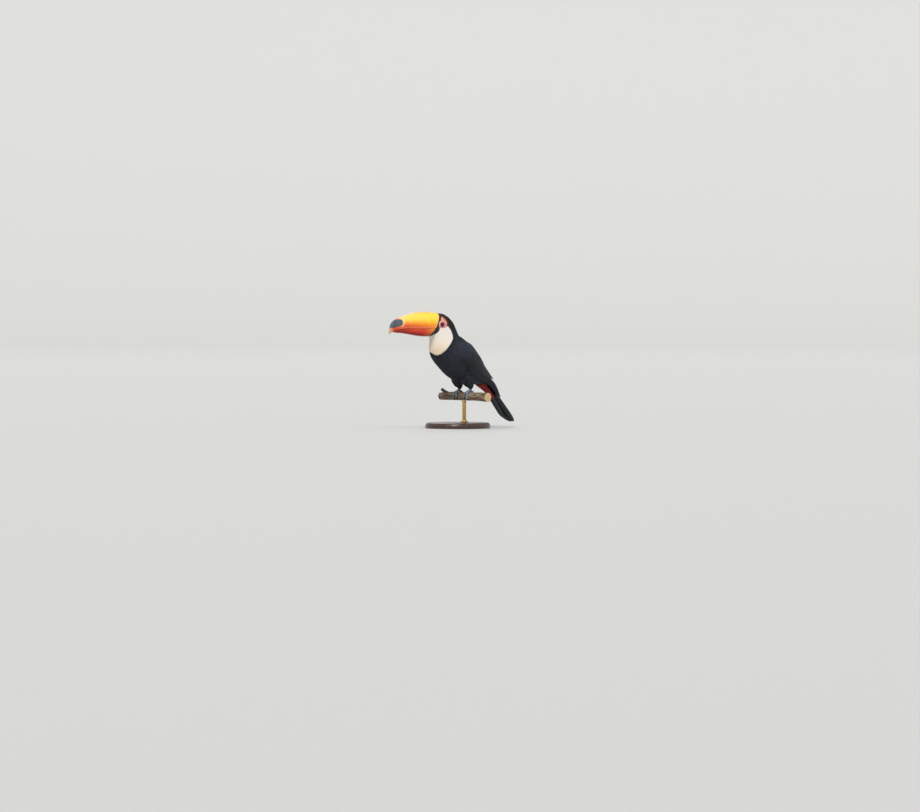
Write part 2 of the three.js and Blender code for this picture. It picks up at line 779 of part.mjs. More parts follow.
const straightPart = 46; // the stretch of the branch under the feet is straight and round
const perchStations = spread(-perchHalfLength, perchHalfLength, 12).map((y) => {
  const free = Math.max(0, Math.abs(y) - straightPart) / straightPart;
  const phase = (3 * y) / perchHalfLength;
  return [1.8 * free * Math.sin(phase), y, perchHeight + 1.4 * free * Math.cos(phase), perchRadius - 0.01 * y * free];
});
const knot = bar(
  [
    [-3, 68, perchHeight + 4, 6.5],
    [-9, 71, perchHeight + 10, 5.4],
    [-14, 75, perchHeight + 15, 4.6],
    [-18, 79, perchHeight + 20, 4.4],
  ],
  10,
);
addNode("perch", bar(perchStations, 16).add(knot), colours.bark);

const rodProfile = [
  [0, baseThickness + gap],
  [11, baseThickness + gap],
  [11, baseThickness + 2.6],
  [8.5, baseThickness + 4],
  [rodRadius, baseThickness + 6.5],
  [rodRadius, perchHeight],
  [0, perchHeight],
];
const baseProfile = [
  [0, 0],
  [baseRadius - 2, 0],
  [baseRadius, 2],
  [baseRadius, baseThickness - 7],
  [baseRadius - 2.5, baseThickness - 2.5],
  [baseRadius - 7, baseThickness],
  [0, baseThickness],
];
const upright = new THREE.Vector3(0, 0, 1);
const rod = turned(rodProfile, new THREE.Vector3(), upright, 16);
addNode("stand_rod", rod.subtract(perchRoom), colours.rod);
addNode("stand_base", turned(baseProfile, new THREE.Vector3(baseCentreX, 0, 0), upright, 36), colours.base);

export default model;
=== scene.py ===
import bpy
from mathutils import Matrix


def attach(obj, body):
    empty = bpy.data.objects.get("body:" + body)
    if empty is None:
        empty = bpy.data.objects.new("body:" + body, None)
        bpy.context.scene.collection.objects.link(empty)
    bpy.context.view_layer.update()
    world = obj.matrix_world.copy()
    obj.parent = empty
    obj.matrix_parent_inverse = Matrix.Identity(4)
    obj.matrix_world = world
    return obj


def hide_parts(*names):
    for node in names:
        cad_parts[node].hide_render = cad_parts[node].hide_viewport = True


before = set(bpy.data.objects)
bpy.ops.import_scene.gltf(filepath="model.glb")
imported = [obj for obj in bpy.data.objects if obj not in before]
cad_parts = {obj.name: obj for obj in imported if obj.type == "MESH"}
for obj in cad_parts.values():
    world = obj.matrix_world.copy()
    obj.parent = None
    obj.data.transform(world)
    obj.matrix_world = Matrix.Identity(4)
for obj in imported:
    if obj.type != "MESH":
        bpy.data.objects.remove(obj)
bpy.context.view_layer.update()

# Toco toucan on a short cut branch: skin, feathers, bill, eyes, feet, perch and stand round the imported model.
# Shapes are worked out in millimetres in the model's own frame, +Z up, the bird facing -X, its left side at -Y,
# and written to the meshes in metres.

import math

import bpy
import numpy as np
from mathutils import Vector, noise

TAU = 2 * math.pi
SIDES = {"left": -1, "right": 1}

# ---- the model's named sizes

PERCH_HEIGHT, PERCH_RADIUS, PERCH_HALF_LENGTH = 90, 12, 104
BASE_RADIUS, BASE_CENTRE_X, BASE_THICKNESS = 92, -24, 16
ROD_RADIUS = 5.5
BODY_ORIGIN = np.array([25.0, 0, 88])
PITCH = math.radians(50)
BODY_U = np.array([math.cos(PITCH), 0, -math.sin(PITCH)])
BODY_N = np.array([math.sin(PITCH), 0, math.cos(PITCH)])
FOOT_SPREAD, TOE_RADIUS, SHANK_RADIUS = 24, 3.4, 3.9
EYE_RADIUS, EYE_CENTRE, EYE_FORWARD = 8, (-100.6, 19, 293.5), math.radians(11)
TAIL_LENGTH = 155

# Head and neck: x and z of the top line, x and z of the bottom line, half width.
HEAD_STATIONS = [
    [-94, 325.5, -124.5, 260.5, 22.8],
    [-78.5, 322.8, -121, 254, 25.6],
    [-61, 313, -120, 246, 28.5],
    [-47, 299, -120.5, 237, 30.5],
    [-38, 282, -121, 227, 33],
    [-29, 265, -119.5, 216, 36.5],
    [-14, 251, -115, 203, 40.5],
    [-3, 245, -102, 186, 43],
]

# Torso, square to the body's axis: u, n of the back, n of the belly, half width.
TORSO_STATIONS = [
    [-128, 83, -31, 43],
    [-110, 85, -28, 43.5],
    [-90, 85, -22, 43],
    [-70, 84, -13, 40.5],
    [-50, 83, 0, 37],
    [-32, 82, 17, 32],
    [-16, 81, 35, 26.5],
    [0, 79.5, 50, 20],
    [11, 77.5, 58, 12],
]

# The form that a folded wing lies on.
WING_BED = [
    [-170, 72, -28, 38.5],
    [-150, 78, -31, 41],
    [-128, 83, -31, 43],
    [-90, 85.5, -22.5, 43.5],
    [-60, 84.5, -7.5, 40],
    [-32, 83, 16, 33.5],
    [-16, 83, 33, 29.5],
    [0, 84, 44, 26.5],
    [20, 85, 50, 26],
    [62, 85, 57, 26],
]

BED_ENDS = WING_BED[0][0], WING_BED[-1][0]

# The fleshy front of the wing: u, height, and the degrees of its upper and lower edges.
WING_ARM = [
    [-166, 0.4, 66, 84],
    [-161, 3.4, 52, 94],
    [-150, 5.4, 38, 101],
    [-132, 5.8, 26, 106],
    [-112, 5.2, 24, 109],
    [-92, 4.2, 26, 110],
    [-76, 3, 28, 110],
    [-66, 1.2, 32, 107],
]

ARM_ENDS = WING_ARM[0][0], WING_ARM[-1][0]

# Bill: the culmen's x and z, the cutting edge's x below it, half width there.
UPPER_BILL = [
    [-90, 317, -112, 9.5],
    [-95, 321.8, -116, 21.4],
    [-110, 327, -128, 21.4],
    [-148, 329.3, -160, 20.4],
    [-179, 327.7, -187, 19],
    [-202, 324, -208, 17.2],
    [-226, 317.3, -229, 14.4],
    [-249, 310.5, -248.5, 11.2],
    [-264, 301, -261.5, 8.4],
    [-271, 288.5, -268, 5.6],
    [-274, 276, -271.5, 3.2],
    [-275.8, 266.5, -274.3, 0.8],
]

# Lower bill: the cutting edge's x, the lower line's x and z, half width.
LOWER_BILL = [
    [-108, -118, 264, 17],
    [-118, -129, 261, 20.8],
    [-141, -148, 260.2, 20],
    [-170, -174, 262.2, 18.6],
    [-200, -203, 266.5, 16.2],
    [-225, -227, 269.7, 13],
    [-245, -246, 271.3, 9.6],
    [-258, -258.4, 272.8, 6],
    [-264.5, -264.6, 274.6, 2.6],
]

CUTTING_EDGE = [
    [-100, 284],
    [-135, 284],
    [-175, 284.4],
    [-208, 285.3],
    [-232, 283.8],
    [-250, 280.3],
    [-262, 276.6],
    [-270, 272],
    [-275, 266],
]

# The white throat's edge and the bare skin's edge, seen from the side: x, z.
THROAT_OUTLINE = [
    (-128, 289), (-100, 288), (-91, 289.5), (-84, 291), (-78, 286), (-72, 277), (-68.5, 267), (-68.5, 257.5),
    (-72, 249.5), (-80, 241.5), (-91, 232), (-101.5, 221.5), (-109, 215), (-115.5, 211.5), (-119.5, 213), (-122.5, 218),
    (-128, 221), (-160, 223), (-160, 289),
]
FACE_OUTLINE = [
    (-124, 284.5), (-100, 283.5), (-91, 285), (-85.5, 290), (-82.5, 298), (-84.5, 306), (-91.5, 314),
    (-101, 318.5), (-110, 319), (-124, 315),
]

# The back edge of the black skin at the corner of the mouth: z, x.
GAPE_LINE = [
    [256, -136], [262, -127], [268, -118], [275, -111.8], [281, -109.6], [286, -110.2], [290, -114], [294, -122],
]

# The dark patch over the upper bill's tip, seen from the side: x, z.
TIP_PATCH = [
    (-236.5, 292), (-234, 297), (-233.5, 307), (-238, 309.5), (-250, 309), (-264, 309), (-285, 309), (-290, 300),
    (-290, 286), (-274, 285), (-263, 284.5), (-252, 288), (-243, 290.5),
]

# ---- curves and forms


def row_at(table, x):
    """Rows of a table at x, its first column, by cubic Hermite pieces, and straight on past its ends."""
    table = np.asarray(table, float)
    if table[0, 0] > table[-1, 0]:
        table = table[::-1]
    keys, values = table[:, 0], table[:, 1:]
    x = np.asarray(x, float)
    before = np.maximum(np.arange(len(keys)) - 1, 0)
    after = np.minimum(np.arange(len(keys)) + 1, len(keys) - 1)
    slopes = (values[after] - values[before]) / (keys[after] - keys[before])[:, None]
    i = np.clip(np.searchsorted(keys, x, side="right") - 1, 0, len(keys) - 2)
    step = keys[i + 1] - keys[i]
    raw = (x - keys[i]) / step
    f = np.clip(raw, 0, 1)[..., None]
    s = f * f * (3 - 2 * f)
    inside = values[i] * (1 - s) + values[i + 1] * s
    inside += step[..., None] * f * (1 - f) * ((1 - f) * slopes[i] - f * slopes[i + 1])
    past = (raw[..., None] - f) * step[..., None]
    return inside + past * np.where(raw[..., None] < 0, slopes[i], slopes[i + 1])


def numbered(table):
    return [[i, *row] for i, row in enumerate(table)]


def columns(table, x):
    return np.moveaxis(row_at(table, x), -1, 0)


def mix(a, b, f):
    return a + (b - a) * f


def smooth(low, high, x):
    f = np.clip((np.asarray(x, float) - low) / (high - low), 0, 1)
    return f * f * (3 - 2 * f)


def in_body(u, n, y):
    u, n, y = np.broadcast_arrays(u, n, y)
    return BODY_ORIGIN + u[..., None] * BODY_U + n[..., None] * BODY_N + y[..., None] * np.array([0, 1.0, 0])


def torso_lines():
    for u, back, belly, width in TORSO_STATIONS:
        top, low = in_body(u, back, 0), in_body(u, belly, 0)
        yield [top[0], top[2], low[0], low[2], width]


BODY_TABLE = numbered([*HEAD_STATIONS, *torso_lines()])
BODY_END = len(BODY_TABLE) - 1


def body(row, angle):
    """The bird's outer form from the bill's root to the tail's; angle runs from the back by the right side."""
    top_x, top_z, low_x, low_z, width = columns(BODY_TABLE, row)
    turned = np.mod(angle, TAU)
    turned = np.minimum(turned, TAU - turned)
    bulge = 4 * np.sin(turned) ** 2 + 5 * np.maximum(0, np.sin(2 * turned))
    c = np.cos(angle)
    x = (top_x + low_x) / 2 + (top_x - low_x) / 2 * c - np.clip(1 - row / 1.5, 0, 1) * bulge
    z = (top_z + low_z) / 2 + (top_z - low_z) / 2 * c
    return np.stack([x, width * np.sin(angle), z], -1)


def on_wing(side, u, degrees, height):
    """A point on a folded wing's bed at u, turned by degrees from the back, at a height above it."""
    top, low, width = columns(WING_BED, u)
    angle = np.radians(degrees)
    deep = (top - low) / 2
    out = np.stack([np.cos(angle) / deep, np.sin(angle) / width], -1)
    out /= np.linalg.norm(out, axis=-1, keepdims=True)
    n = low + deep + deep * np.cos(angle) + height * out[..., 0]
    return in_body(u, n, side * (width * np.sin(angle) + height * out[..., 1]))


def degrees_per_millimetre(u):
    top, low, width = columns(WING_BED, u)
    return 180 / math.pi / (((top - low) / 2 + width) / 2)


def wing_place(point):
    """u and degrees round the wing's bed of points near it."""
    near = point - BODY_ORIGIN
    u, n = near @ BODY_U, near @ BODY_N
    top, low, width = columns(WING_BED, np.clip(u, *BED_ENDS))
    deep = (top - low) / 2
    return u, np.degrees(np.arctan2(np.abs(point[..., 1]) / width, (n - low - deep) / deep))


def arm_height(u, degrees):
    rise, upper, lower = columns(WING_ARM, np.clip(u, *ARM_ENDS))
    across = np.clip((2 * degrees - upper - lower) / (lower - upper), -1.2, 1.2)
    fade = (1 - smooth(-78, -62, u)) * mix(0.3, 1, smooth(-168, -144, u))
    return rise * (1 - 0.85 * np.minimum(np.abs(across), 1) ** 4) * fade


def edge_distance(x, z, outline):
    """Distance from a closed outline in the side view, negative inside it."""
    corners = np.array(outline, float)
    for _ in range(2):  # corners are cut twice, which rounds the outline
        ahead = np.roll(corners, -1, axis=0)
        corners = np.stack([0.75 * corners + 0.25 * ahead, 0.25 * corners + 0.75 * ahead], 1).reshape(-1, 2)
    p = np.stack([np.asarray(x, float), np.asarray(z, float)], -1)
    best = np.full(p.shape[:-1], np.inf)
    inside = np.zeros(p.shape[:-1], bool)
    for a, b in zip(corners, np.roll(corners, -1, axis=0)):
        along = b - a
        f = np.clip(((p - a) @ along) / (along @ along), 0, 1)
        best = np.minimum(best, np.linalg.norm(p - a - f[..., None] * along, axis=-1))
        crosses = (a[1] > p[..., 1]) != (b[1] > p[..., 1])
        with np.errstate(divide="ignore", invalid="ignore"):
            at = a[0] + (p[..., 1] - a[1]) / (b[1] - a[1]) * along[0]
        inside ^= crosses & (p[..., 0] < at)
    return np.where(inside, -best, best)


def unit(v):
    return v / np.maximum(np.linalg.norm(v, axis=-1, keepdims=True), 1e-9)


def axes_on(form, s, t, ds, dt, outward=1):
    """Points of a form, its two tangents for a unit of s and of t, and its outward normal."""
    ps = (form(s + ds, t) - form(s - ds, t)) / (2 * ds)
    pt = (form(s, t + dt) - form(s, t - dt)) / (2 * dt)
    return form(s, t), ps, pt, outward * unit(np.cross(ps, pt))


def tube_form(stations):
    """A form round a bent axis: s runs over its stations of x, y, z and radius, t round it."""
    table = numbered(stations)

    def form(s, t):
        x, y, z, r = columns(table, s)
        along = unit((row_at(table, s + 0.01) - row_at(table, s - 0.01))[..., :3])
        across = unit(np.array([0, 1.0, 0]) - along * along[..., 1:2])
        up = np.cross(along, across)
        ring = np.sin(t)[..., None] * across + np.cos(t)[..., None] * up
        return np.stack([x, y, z], -1) + r[..., None] * ring

    return form


def axis_form(stations):
    """A form along the body's axis through stations of u, top n, lower n and half width."""

    def form(s, t):
        top, low, width = columns(stations, s)
        return in_body(s, (top + low) / 2 + (top - low) / 2 * np.cos(t), width * np.sin(t))

    return form


# ---- meshes


def add_mesh(name, points, faces, material, slot, marks=None, patches=None, soft=True, replaced=()):
    """A mesh from points in millimetres and arrays of triangles or quads. marks are values at its points, patches
    their places on the unwrap, replaced the model's nodes that it stands for."""
    mesh = bpy.data.meshes.new(name)
    faces = faces if isinstance(faces, list) else [faces]
    loops = np.concatenate([f.ravel() for f in faces]).astype(np.int32)
    sizes = np.concatenate([np.full(len(f), f.shape[1]) for f in faces])
    mesh.vertices.add(len(points))
    mesh.vertices.foreach_set("co", (np.asarray(points, float) / 1000).astype(np.float32).ravel())
    mesh.loops.add(len(loops))
    mesh.loops.foreach_set("vertex_index", loops)
    mesh.polygons.add(len(sizes))
    mesh.polygons.foreach_set("loop_start", np.concatenate([[0], np.cumsum(sizes)[:-1]]).astype(np.int32))
    mesh.update(calc_edges=True)
    mesh.polygons.foreach_set("use_smooth", np.full(len(sizes), soft))
    for key, values in (marks or {}).items():
        layer = mesh.attributes.new(key, "FLOAT", "POINT")
        layer.data.foreach_set("value", np.asarray(values, np.float32).ravel())
    if patches is not None:
        layer = mesh.uv_layers.new(name="OFBake")
        layer.uv.foreach_set("vector", np.asarray(patches, np.float32)[loops].ravel())
    mesh.validate()
    mesh.materials.append(material)
    made = bpy.data.objects.new(name, mesh)
    bpy.context.scene.collection.objects.link(made)
    if slot:
        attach(made, "root")
    if replaced:
        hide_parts(*replaced)
    return made


def grid_faces(rows, cols, wrap=False, ring=False):
    """Quads of a grid of points, closed from its last column to its first, and from its last row, where asked."""
    i, j = np.meshgrid(np.arange(rows if ring else rows - 1), np.arange(cols if wrap else cols - 1), indexing="ij")
    below, ahead = (i + 1) % rows, (j + 1) % cols
    return np.stack([i * cols + j, i * cols + ahead, below * cols + ahead, below * cols + j], -1).reshape(-1, 4)


def closed_tube(rings):
    """Points and faces of a closed form through rings of as many points, with a fan over each end."""
    rows, cols = rings.shape[:2]
    points = np.concatenate([rings.reshape(-1, 3), rings[:1].mean(1), rings[-1:].mean(1)])
    j = np.arange(cols)
    ahead = (j + 1) % cols
    last = (rows - 1) * cols
    caps = np.concatenate([
        np.stack([np.full(cols, rows * cols), ahead, j], -1),
        np.stack([np.full(cols, rows * cols + 1), last + j, last + ahead], -1),
    ])
    return points, [grid_faces(rows, cols, wrap=True), caps]


def closed_sheet(top, bottom):
    """Points and quads of a thin closed form between two grids of points."""
    rows, cols = top.shape[:2]
    points = np.concatenate([top.reshape(-1, 3), bottom.reshape(-1, 3)])
    under = rows * cols
    upper = grid_faces(rows, cols)
    rim = np.array([*range(0, under - cols, cols), *range(under - cols, under - 1), *range(under - 1, cols - 1, -cols),
                    *range(cols - 1, 0, -1)])
    ahead = np.roll(rim, -1)
    sides = np.stack([rim, ahead, ahead + under, rim + under], -1)
    return points, np.concatenate([upper, upper[:, ::-1] + under, sides])


def outward_faces(points, faces):
    """faces, turned round if they enclose the points inside out."""
    volume = 0
    for f in faces:
        for k in range(1, f.shape[1] - 1):
            a, b, c = points[f[:, 0]], points[f[:, k]], points[f[:, k + 1]]
            volume += np.einsum("ij,ij->i", a, np.cross(b, c)).sum()
    return faces if volume > 0 else [f[:, ::-1] for f in faces]


def once_round(count):
    return np.linspace(0, TAU, count + 1)[:-1]


def turned(start, end, rows, cols):
    """A grid of numbers from start to end, and of angles once round."""
    return np.meshgrid(np.linspace(start, end, rows), once_round(cols), indexing="ij")


def rings_round(path, radius, first, second):
    """Rings of points round a path, from the direction first towards second."""
    a = once_round(radius.shape[1])[None, :, None]
    return path[:, None] + radius[..., None] * (np.cos(a) * first[:, None] + np.sin(a) * second[:, None])


def revolved(outline, cols, centre_x=0):
    """Rings of points round a vertical axis through an outline's radii and heights."""
    radius, height = np.array(outline).T[..., None]
    turn = once_round(cols)
    return np.stack(np.broadcast_arrays(centre_x + radius * np.cos(turn), radius * np.sin(turn), height), -1)


class Pile:
    """Closed pieces gathered into one mesh."""

    def __init__(self):
        self.points, self.faces, self.marks, self.count = [], [], {}, 0

    def add(self, points, faces, **marks):
        """Adds a piece. Marks that don't reach the middles of a tube's two ends are 0 there."""
        faces = outward_faces(points, faces if isinstance(faces, list) else [faces])
        self.faces += [f + self.count for f in faces]
        self.points.append(points)
        for key, values in marks.items():
            if np.ndim(values):
                values = np.append(values, np.zeros(len(points) - np.size(values)))
            self.marks.setdefault(key, []).append(np.broadcast_to(values, len(points)))
        self.count += len(points)

    def object(self, name, material, slot, replaced=(), crisp=False):
        marks = {key: np.concatenate(values) for key, values in self.marks.items()}
        made = add_mesh(name, np.concatenate(self.points), self.faces, material, slot, marks, replaced=replaced)
        if crisp:
            made.data.set_sharp_from_angle(angle=math.radians(50))


def solid(name, rings, material, slot, replaced, **marks):
    """A closed form through rings of points."""
    pile = Pile()
    pile.add(*closed_tube(rings), **marks)
    pile.object(name, material, slot, replaced)


# ---- materials


def srgb(code):
    """A hex colour as linear RGBA."""
    values = [int(code[i : i + 2], 16) / 255 for i in (0, 2, 4)]
    return (*[v / 12.92 if v <= 0.04045 else ((v + 0.055) / 1.055) ** 2.4 for v in values], 1)


class Paint:
    """A node material: calls add nodes, and each returns the node's output."""

    def __init__(self, name, **sockets):
        self.material = bpy.data.materials.new(name)
        self.material.use_nodes = True
        self.tree = self.material.node_tree
        self.shader = self.tree.nodes["Principled BSDF"]
        for key, value in sockets.items():
            self.shader.inputs[key.replace("_", " ")].default_value = value

    def node(self, kind, inputs=None, output=0, **settings):
        made = self.tree.nodes.new("ShaderNode" + kind)
        for key, value in settings.items():
            setattr(made, key, value)
        for key, value in (inputs or {}).items():
            if isinstance(value, bpy.types.NodeSocket):
                self.tree.links.new(value, made.inputs[key])
            elif value is not None:
                made.inputs[key].default_value = value
        return made.outputs[output]

    def math(self, operation, a, b=None, c=None):
        return self.node("Math", {0: a, 1: b, 2: c}, operation=operation)

    def attribute(self, name):
        return self.node("Attribute", output="Fac", attribute_name=name)

    def place(self, **mapping):
        """The place in the object, with a Mapping node's settings if there are any."""
        where = self.node("TexCoord", output="Object")
        return self.node("Mapping", {"Vector": where, **mapping}) if mapping else where

    def noise(self, scale, detail=3.0, roughness=0.55, **mapping):
        inputs = {"Vector": self.place(**mapping), "Scale": scale, "Detail": detail, "Roughness": roughness}
        return self.node("TexNoise", inputs)

    def stirred(self, value, share, *noise, **mapping):
        """A value moved up and down by a share of noise."""
        return self.math("MULTIPLY_ADD", self.math("SUBTRACT", self.noise(*noise, **mapping), 0.5), share, value)

    def ramp(self, value, stops):
        """A colour ramp. stops names places and hex colours in turn."""
        words = stops.split()
        made = self.tree.nodes.new("ShaderNodeValToRGB")
        elements = made.color_ramp.elements
        while len(elements) < len(words) // 2:
            elements.new(0.5)
        for element, place, colour in zip(elements, words[::2], words[1::2]):
            element.position = float(place)
            element.color = srgb(colour)
        self.tree.links.new(value, made.inputs[0])
        return made.outputs[0]

    def blend(self, factor, a, b, mode="MIX"):
        a, b = (srgb(x) if isinstance(x, str) else x for x in (a, b))
        return self.node("Mix", {0: factor, 6: a, 7: b}, 2, data_type="RGBA", blend_type=mode)

    def marked(self, colour, **marks):
        """A colour under others, each laid where the mesh's mark of its name is."""
        for name, over in marks.items():
            colour = self.blend(self.attribute(name), colour, over)
        return colour

    def rises(self, value, low, high, top=1.0):
        inputs = {"Value": value, "From Min": low, "From Max": high, "To Min": 0.0, "To Max": top}
        return self.node("MapRange", inputs, interpolation_type="SMOOTHSTEP")

    def bump(self, height, strength, distance):
        self.set("Normal", self.node("Bump", {"Strength": strength, "Distance": distance, "Height": height}))

    def cells(self, scale, strength, distance):
        self.bump(self.node("TexVoronoi", {"Vector": self.place(), "Scale": scale}), strength, distance)

    def set(self, socket, value):
        self.tree.links.new(value, self.shader.inputs[socket])


def feather_paint(name, dark, light, sheen_tint, sheen, roughness, blush=None, painted_sheen=None):
    """Feathers: each tuft a little lighter or darker, its ends lighter than its roots: paler worn tips, and painted
    shade at the roots, which lie under the other feathers.
    """
    paint = Paint(name, Roughness=roughness, Specular_IOR_Level=0.35, Sheen_Weight=sheen, Sheen_Roughness=0.4,
                  Sheen_Tint=sheen_tint)
    value = paint.math("MULTIPLY_ADD", paint.attribute("own"), 0.45, paint.math("MULTIPLY", paint.noise(26.0), 0.55))
    # painted shade: each feather is painted darker towards its root, where it lies under the others, and paler towards
    # its worn tip
    value = paint.math("MULTIPLY", value, paint.rises(paint.attribute("along"), -0.35, 1.0))
    colour = paint.blend(value, dark, light)
    # painted sheen: a paler, bluer copy of the colour, laid where the mesh's lit mark is
    if painted_sheen:
        colour = paint.marked(colour, lit=paint.blend(value, *painted_sheen))
    if blush:
        colour = paint.marked(colour, blush=blush)
    paint.set("Base Color", colour)
    return paint.material


# the last pair of colours is the painted sheen on the neck's base and the mantle
BLACK_FEATHER = feather_paint("black_feathers", "07080b", "222731", (0.6, 0.7, 1, 1), 0.14, 0.42, "7e2c12",
                              ("0d0f14", "343b4b"))
# its blush colour is the throat's cream tint, darkened in part as painted shade
WHITE_FEATHER = feather_paint("white_feathers", "ebe5dc", "f4f0e9", (1, 0.98, 0.94, 1), 0.1, 0.8, "dcc5a6")
RUMP_FEATHER = feather_paint("rump_feathers", "eae4d8", "fcfaf5", (1, 1, 1, 1), 0.1, 0.8)
RED_FEATHER = feather_paint("vent_feathers", "6e0f0a", "c2281a", (1, 0.6, 0.5, 1), 0.1, 0.6)

# Flight feathers: fine barbs that slope from the quill, and paler edges, partly wear and partly a painted highlight
# along each vane's edge.
vane_paint = Paint("black_vanes", Roughness=0.38, Specular_IOR_Level=0.28, Sheen_Weight=0.06, Sheen_Roughness=0.35,
                   Sheen_Tint=(0.55, 0.66, 1, 1))
barb_lines, streak = (
    vane_paint.math("SINE", vane_paint.math("MULTIPLY", vane_paint.attribute("barb"), scale)) for scale in (9.5, 1.3)
)
value = vane_paint.math("MULTIPLY_ADD", vane_paint.noise(40.0, 4.0), 0.5, vane_paint.math("MULTIPLY", streak, 0.12))
# painted highlight: a paler band painted along each vane's edges, standing in part for the light that catches them, in
# part for wear
edge = vane_paint.rises(vane_paint.math("ABSOLUTE", vane_paint.attribute("across")), 0.82, 1.0, 0.9)
value = vane_paint.math("ADD", value, edge)
value = vane_paint.math("MULTIPLY_ADD", vane_paint.attribute("own"), 0.25, value)
vane_paint.set("Base Color", vane_paint.blend(value, "050609", "191d27"))
vane_paint.bump(barb_lines, 0.22, 0.0001)
BLACK_VANE = vane_paint.material

# ---- tufts of feather

# A lobe of a feather: three points round each of three places along it, and its tip.
LOBE_PLACES = np.array([0, 0.4, 0.78, 1])
LOBE_ALONG = np.repeat(LOBE_PLACES, [3, 3, 3, 1])
LOBE_HALF_WIDTH = np.repeat([0.55, 1.0, 0.8, 0], [3, 3, 3, 1]) * [-1, 0, 1, -1, 0, 1, -1, 0, 1, 0]
LOBE_RIDGE = np.array([0, 1, 0, 0, 1, 0, 0, 1, 0, 0])
LOBE_SIDES = [(0, 1), (1, 2), (2, 0), (3, 4), (4, 5), (5, 3)]
LOBE_FACES = [face for a, b in LOBE_SIDES for face in ([a, b, b + 3], [a, b + 3, a + 3])]
LOBE_FACES = np.array([*LOBE_FACES, [6, 7, 9], [7, 8, 9], [8, 6, 9], [0, 2, 1]])


def value_at(value, point):
    """A measure at a point, which is a number or a function of the point."""
    return value(point) if callable(value) else value


def scatter(form, s_range, t_range, area, seed, keep=None):
    """Roots spread evenly over a form, one to each area square millimetres, where keep(s, t, point)."""
    g = 1.2207440846057596  # the root of x^4 = x + 1 spreads points evenly in three directions
    ds, dt = (s_range[1] - s_range[0]) * 1e-4, (t_range[1] - t_range[0]) * 1e-4

    def density(s, t):
        point, ps, pt, _ = axes_on(form, s, t, ds, dt)
        return point, ps, pt, np.linalg.norm(np.cross(ps, pt), axis=-1) / value_at(area, point)

    s, t = (m.ravel() for m in np.meshgrid(np.linspace(*s_range, 60), np.linspace(*t_range, 60)))
    densest = density(s, t)[3].max()
    count = int(densest * (s_range[1] - s_range[0]) * (t_range[1] - t_range[0]))
    f = (np.arange(count)[:, None] * [1 / g, 1 / g**2, 1 / g**3] + seed * 0.37) % 1
    s, t = mix(*s_range, f[:, 0]), mix(*t_range, f[:, 1])
    point, ps, pt, wanted = density(s, t)
    rng = np.random.default_rng(seed)
    # The spread places would lie in rows, so each is moved a little.
    apart = np.sqrt(value_at(area, point)) * mix(0.34, 0.6, smooth(225, 290, point[..., 2]))
    s = np.clip(s + rng.uniform(-1, 1, count) * apart / np.linalg.norm(ps, axis=-1), *s_range)
    t = np.clip(t + rng.uniform(-1, 1, count) * apart / np.linalg.norm(pt, axis=-1), *t_range)
    good = f[:, 2] * densest < wanted
    if keep:
        good &= keep(s, t, form(s, t))
    return s[good], t[good]


def tufts(form, s, t, size, depth, seed, patch, lobes=5, outward=1, ridge=0.14, lift=0.1, full=0.5, extra=None):
    """Feathers over a form: each a fan of slender lobes from one root. size gives length and width, depth how far
    below the form a root lies. Returns points, triangles, marks of the points and their places on the unwrap."""
    rng = np.random.default_rng(seed)
    count = len(s)
    root, ps, pt, normal = axes_on(form, s, t, np.ptp(s) * 1e-4, np.ptp(t) * 1e-4, outward)
    length, width = value_at(size, root)
    length = length * rng.uniform(0.8, 1.15, count)
    width = width * rng.uniform(0.9, 1.15, count)
    bend = rng.normal(0, 0.1, count)[:, None]
    flow = unit(ps)
    side = np.cross(normal, flow)
    flow, side = flow * np.cos(bend) + side * np.sin(bend), side * np.cos(bend) - flow * np.sin(bend)
    deep = value_at(depth, root) * np.ones(count)
    tip_height = rng.uniform(-lift, lift, count)
    s3, t3, length, width, deep, tip_height = (v[:, None, None] for v in (s, t, length, width, deep, tip_height))

    f = LOBE_ALONG
    q = np.linspace(-1, 1, lobes)[None, :, None] + rng.uniform(-0.1, 0.1, (count, lobes, 1))
    along = length * (1 - 0.22 * q**2) * rng.uniform(0.86, 1.08, (count, lobes, 1)) * f
    across = width / 2 * q * f**0.6 + length * rng.normal(0, 0.05, (count, 1, 1)) * f * f
    across = across + width / lobes * full * LOBE_HALF_WIDTH
    height = -deep + (deep + tip_height) * (1 - (1 - f) ** 2.4) - 0.1 * q**2 * f + ridge * LOBE_RIDGE
    height = height + rng.uniform(-0.06, 0.06, (count, lobes, 1)) * f

    move = along[..., None] * flow[:, None, None] + across[..., None] * side[:, None, None]
    along_s, along_t = ((move * axis[:, None, None]).sum(-1) for axis in (ps, pt))
    ss, st, tt = ((a * b).sum(-1)[:, None, None] for a, b in ((ps, ps), (ps, pt), (pt, pt)))
    det = ss * tt - st**2
    points = form(s3 + (tt * along_s - st * along_t) / det, t3 + (ss * along_t - st * along_s) / det)
    points = points + height[..., None] * normal[:, None, None]

    faces = outward_faces(points[0, lobes // 2], [LOBE_FACES])[0]
    triangles = (faces + (np.arange(count * lobes) * len(f))[:, None, None]).reshape(-1, 3)
    local = np.stack(np.broadcast_arrays(along / length, 0.5 + across / width), -1)
    uv = np.stack(patch(s, t), -1)[:, None, None] + 0.003 * np.clip(local, 0, 1)
    marks = {"own": rng.uniform(0, 1, (count, 1, 1)), "along": f}
    marks.update({key: value(root)[:, None, None] for key, value in (extra or {}).items()})
    marks = {key: np.broadcast_to(value, along.shape).ravel() for key, value in marks.items()}
    return points.reshape(-1, 3), triangles, marks, uv.reshape(-1, 2)


def covering(form, s_range, t_range, area, size, depth, seeds, patch, keep=None, **more):
    """Tufts whose roots are scattered over a form."""
    return tufts(form, *scatter(form, s_range, t_range, area, seeds[0], keep), size, depth, seeds[1], patch, **more)


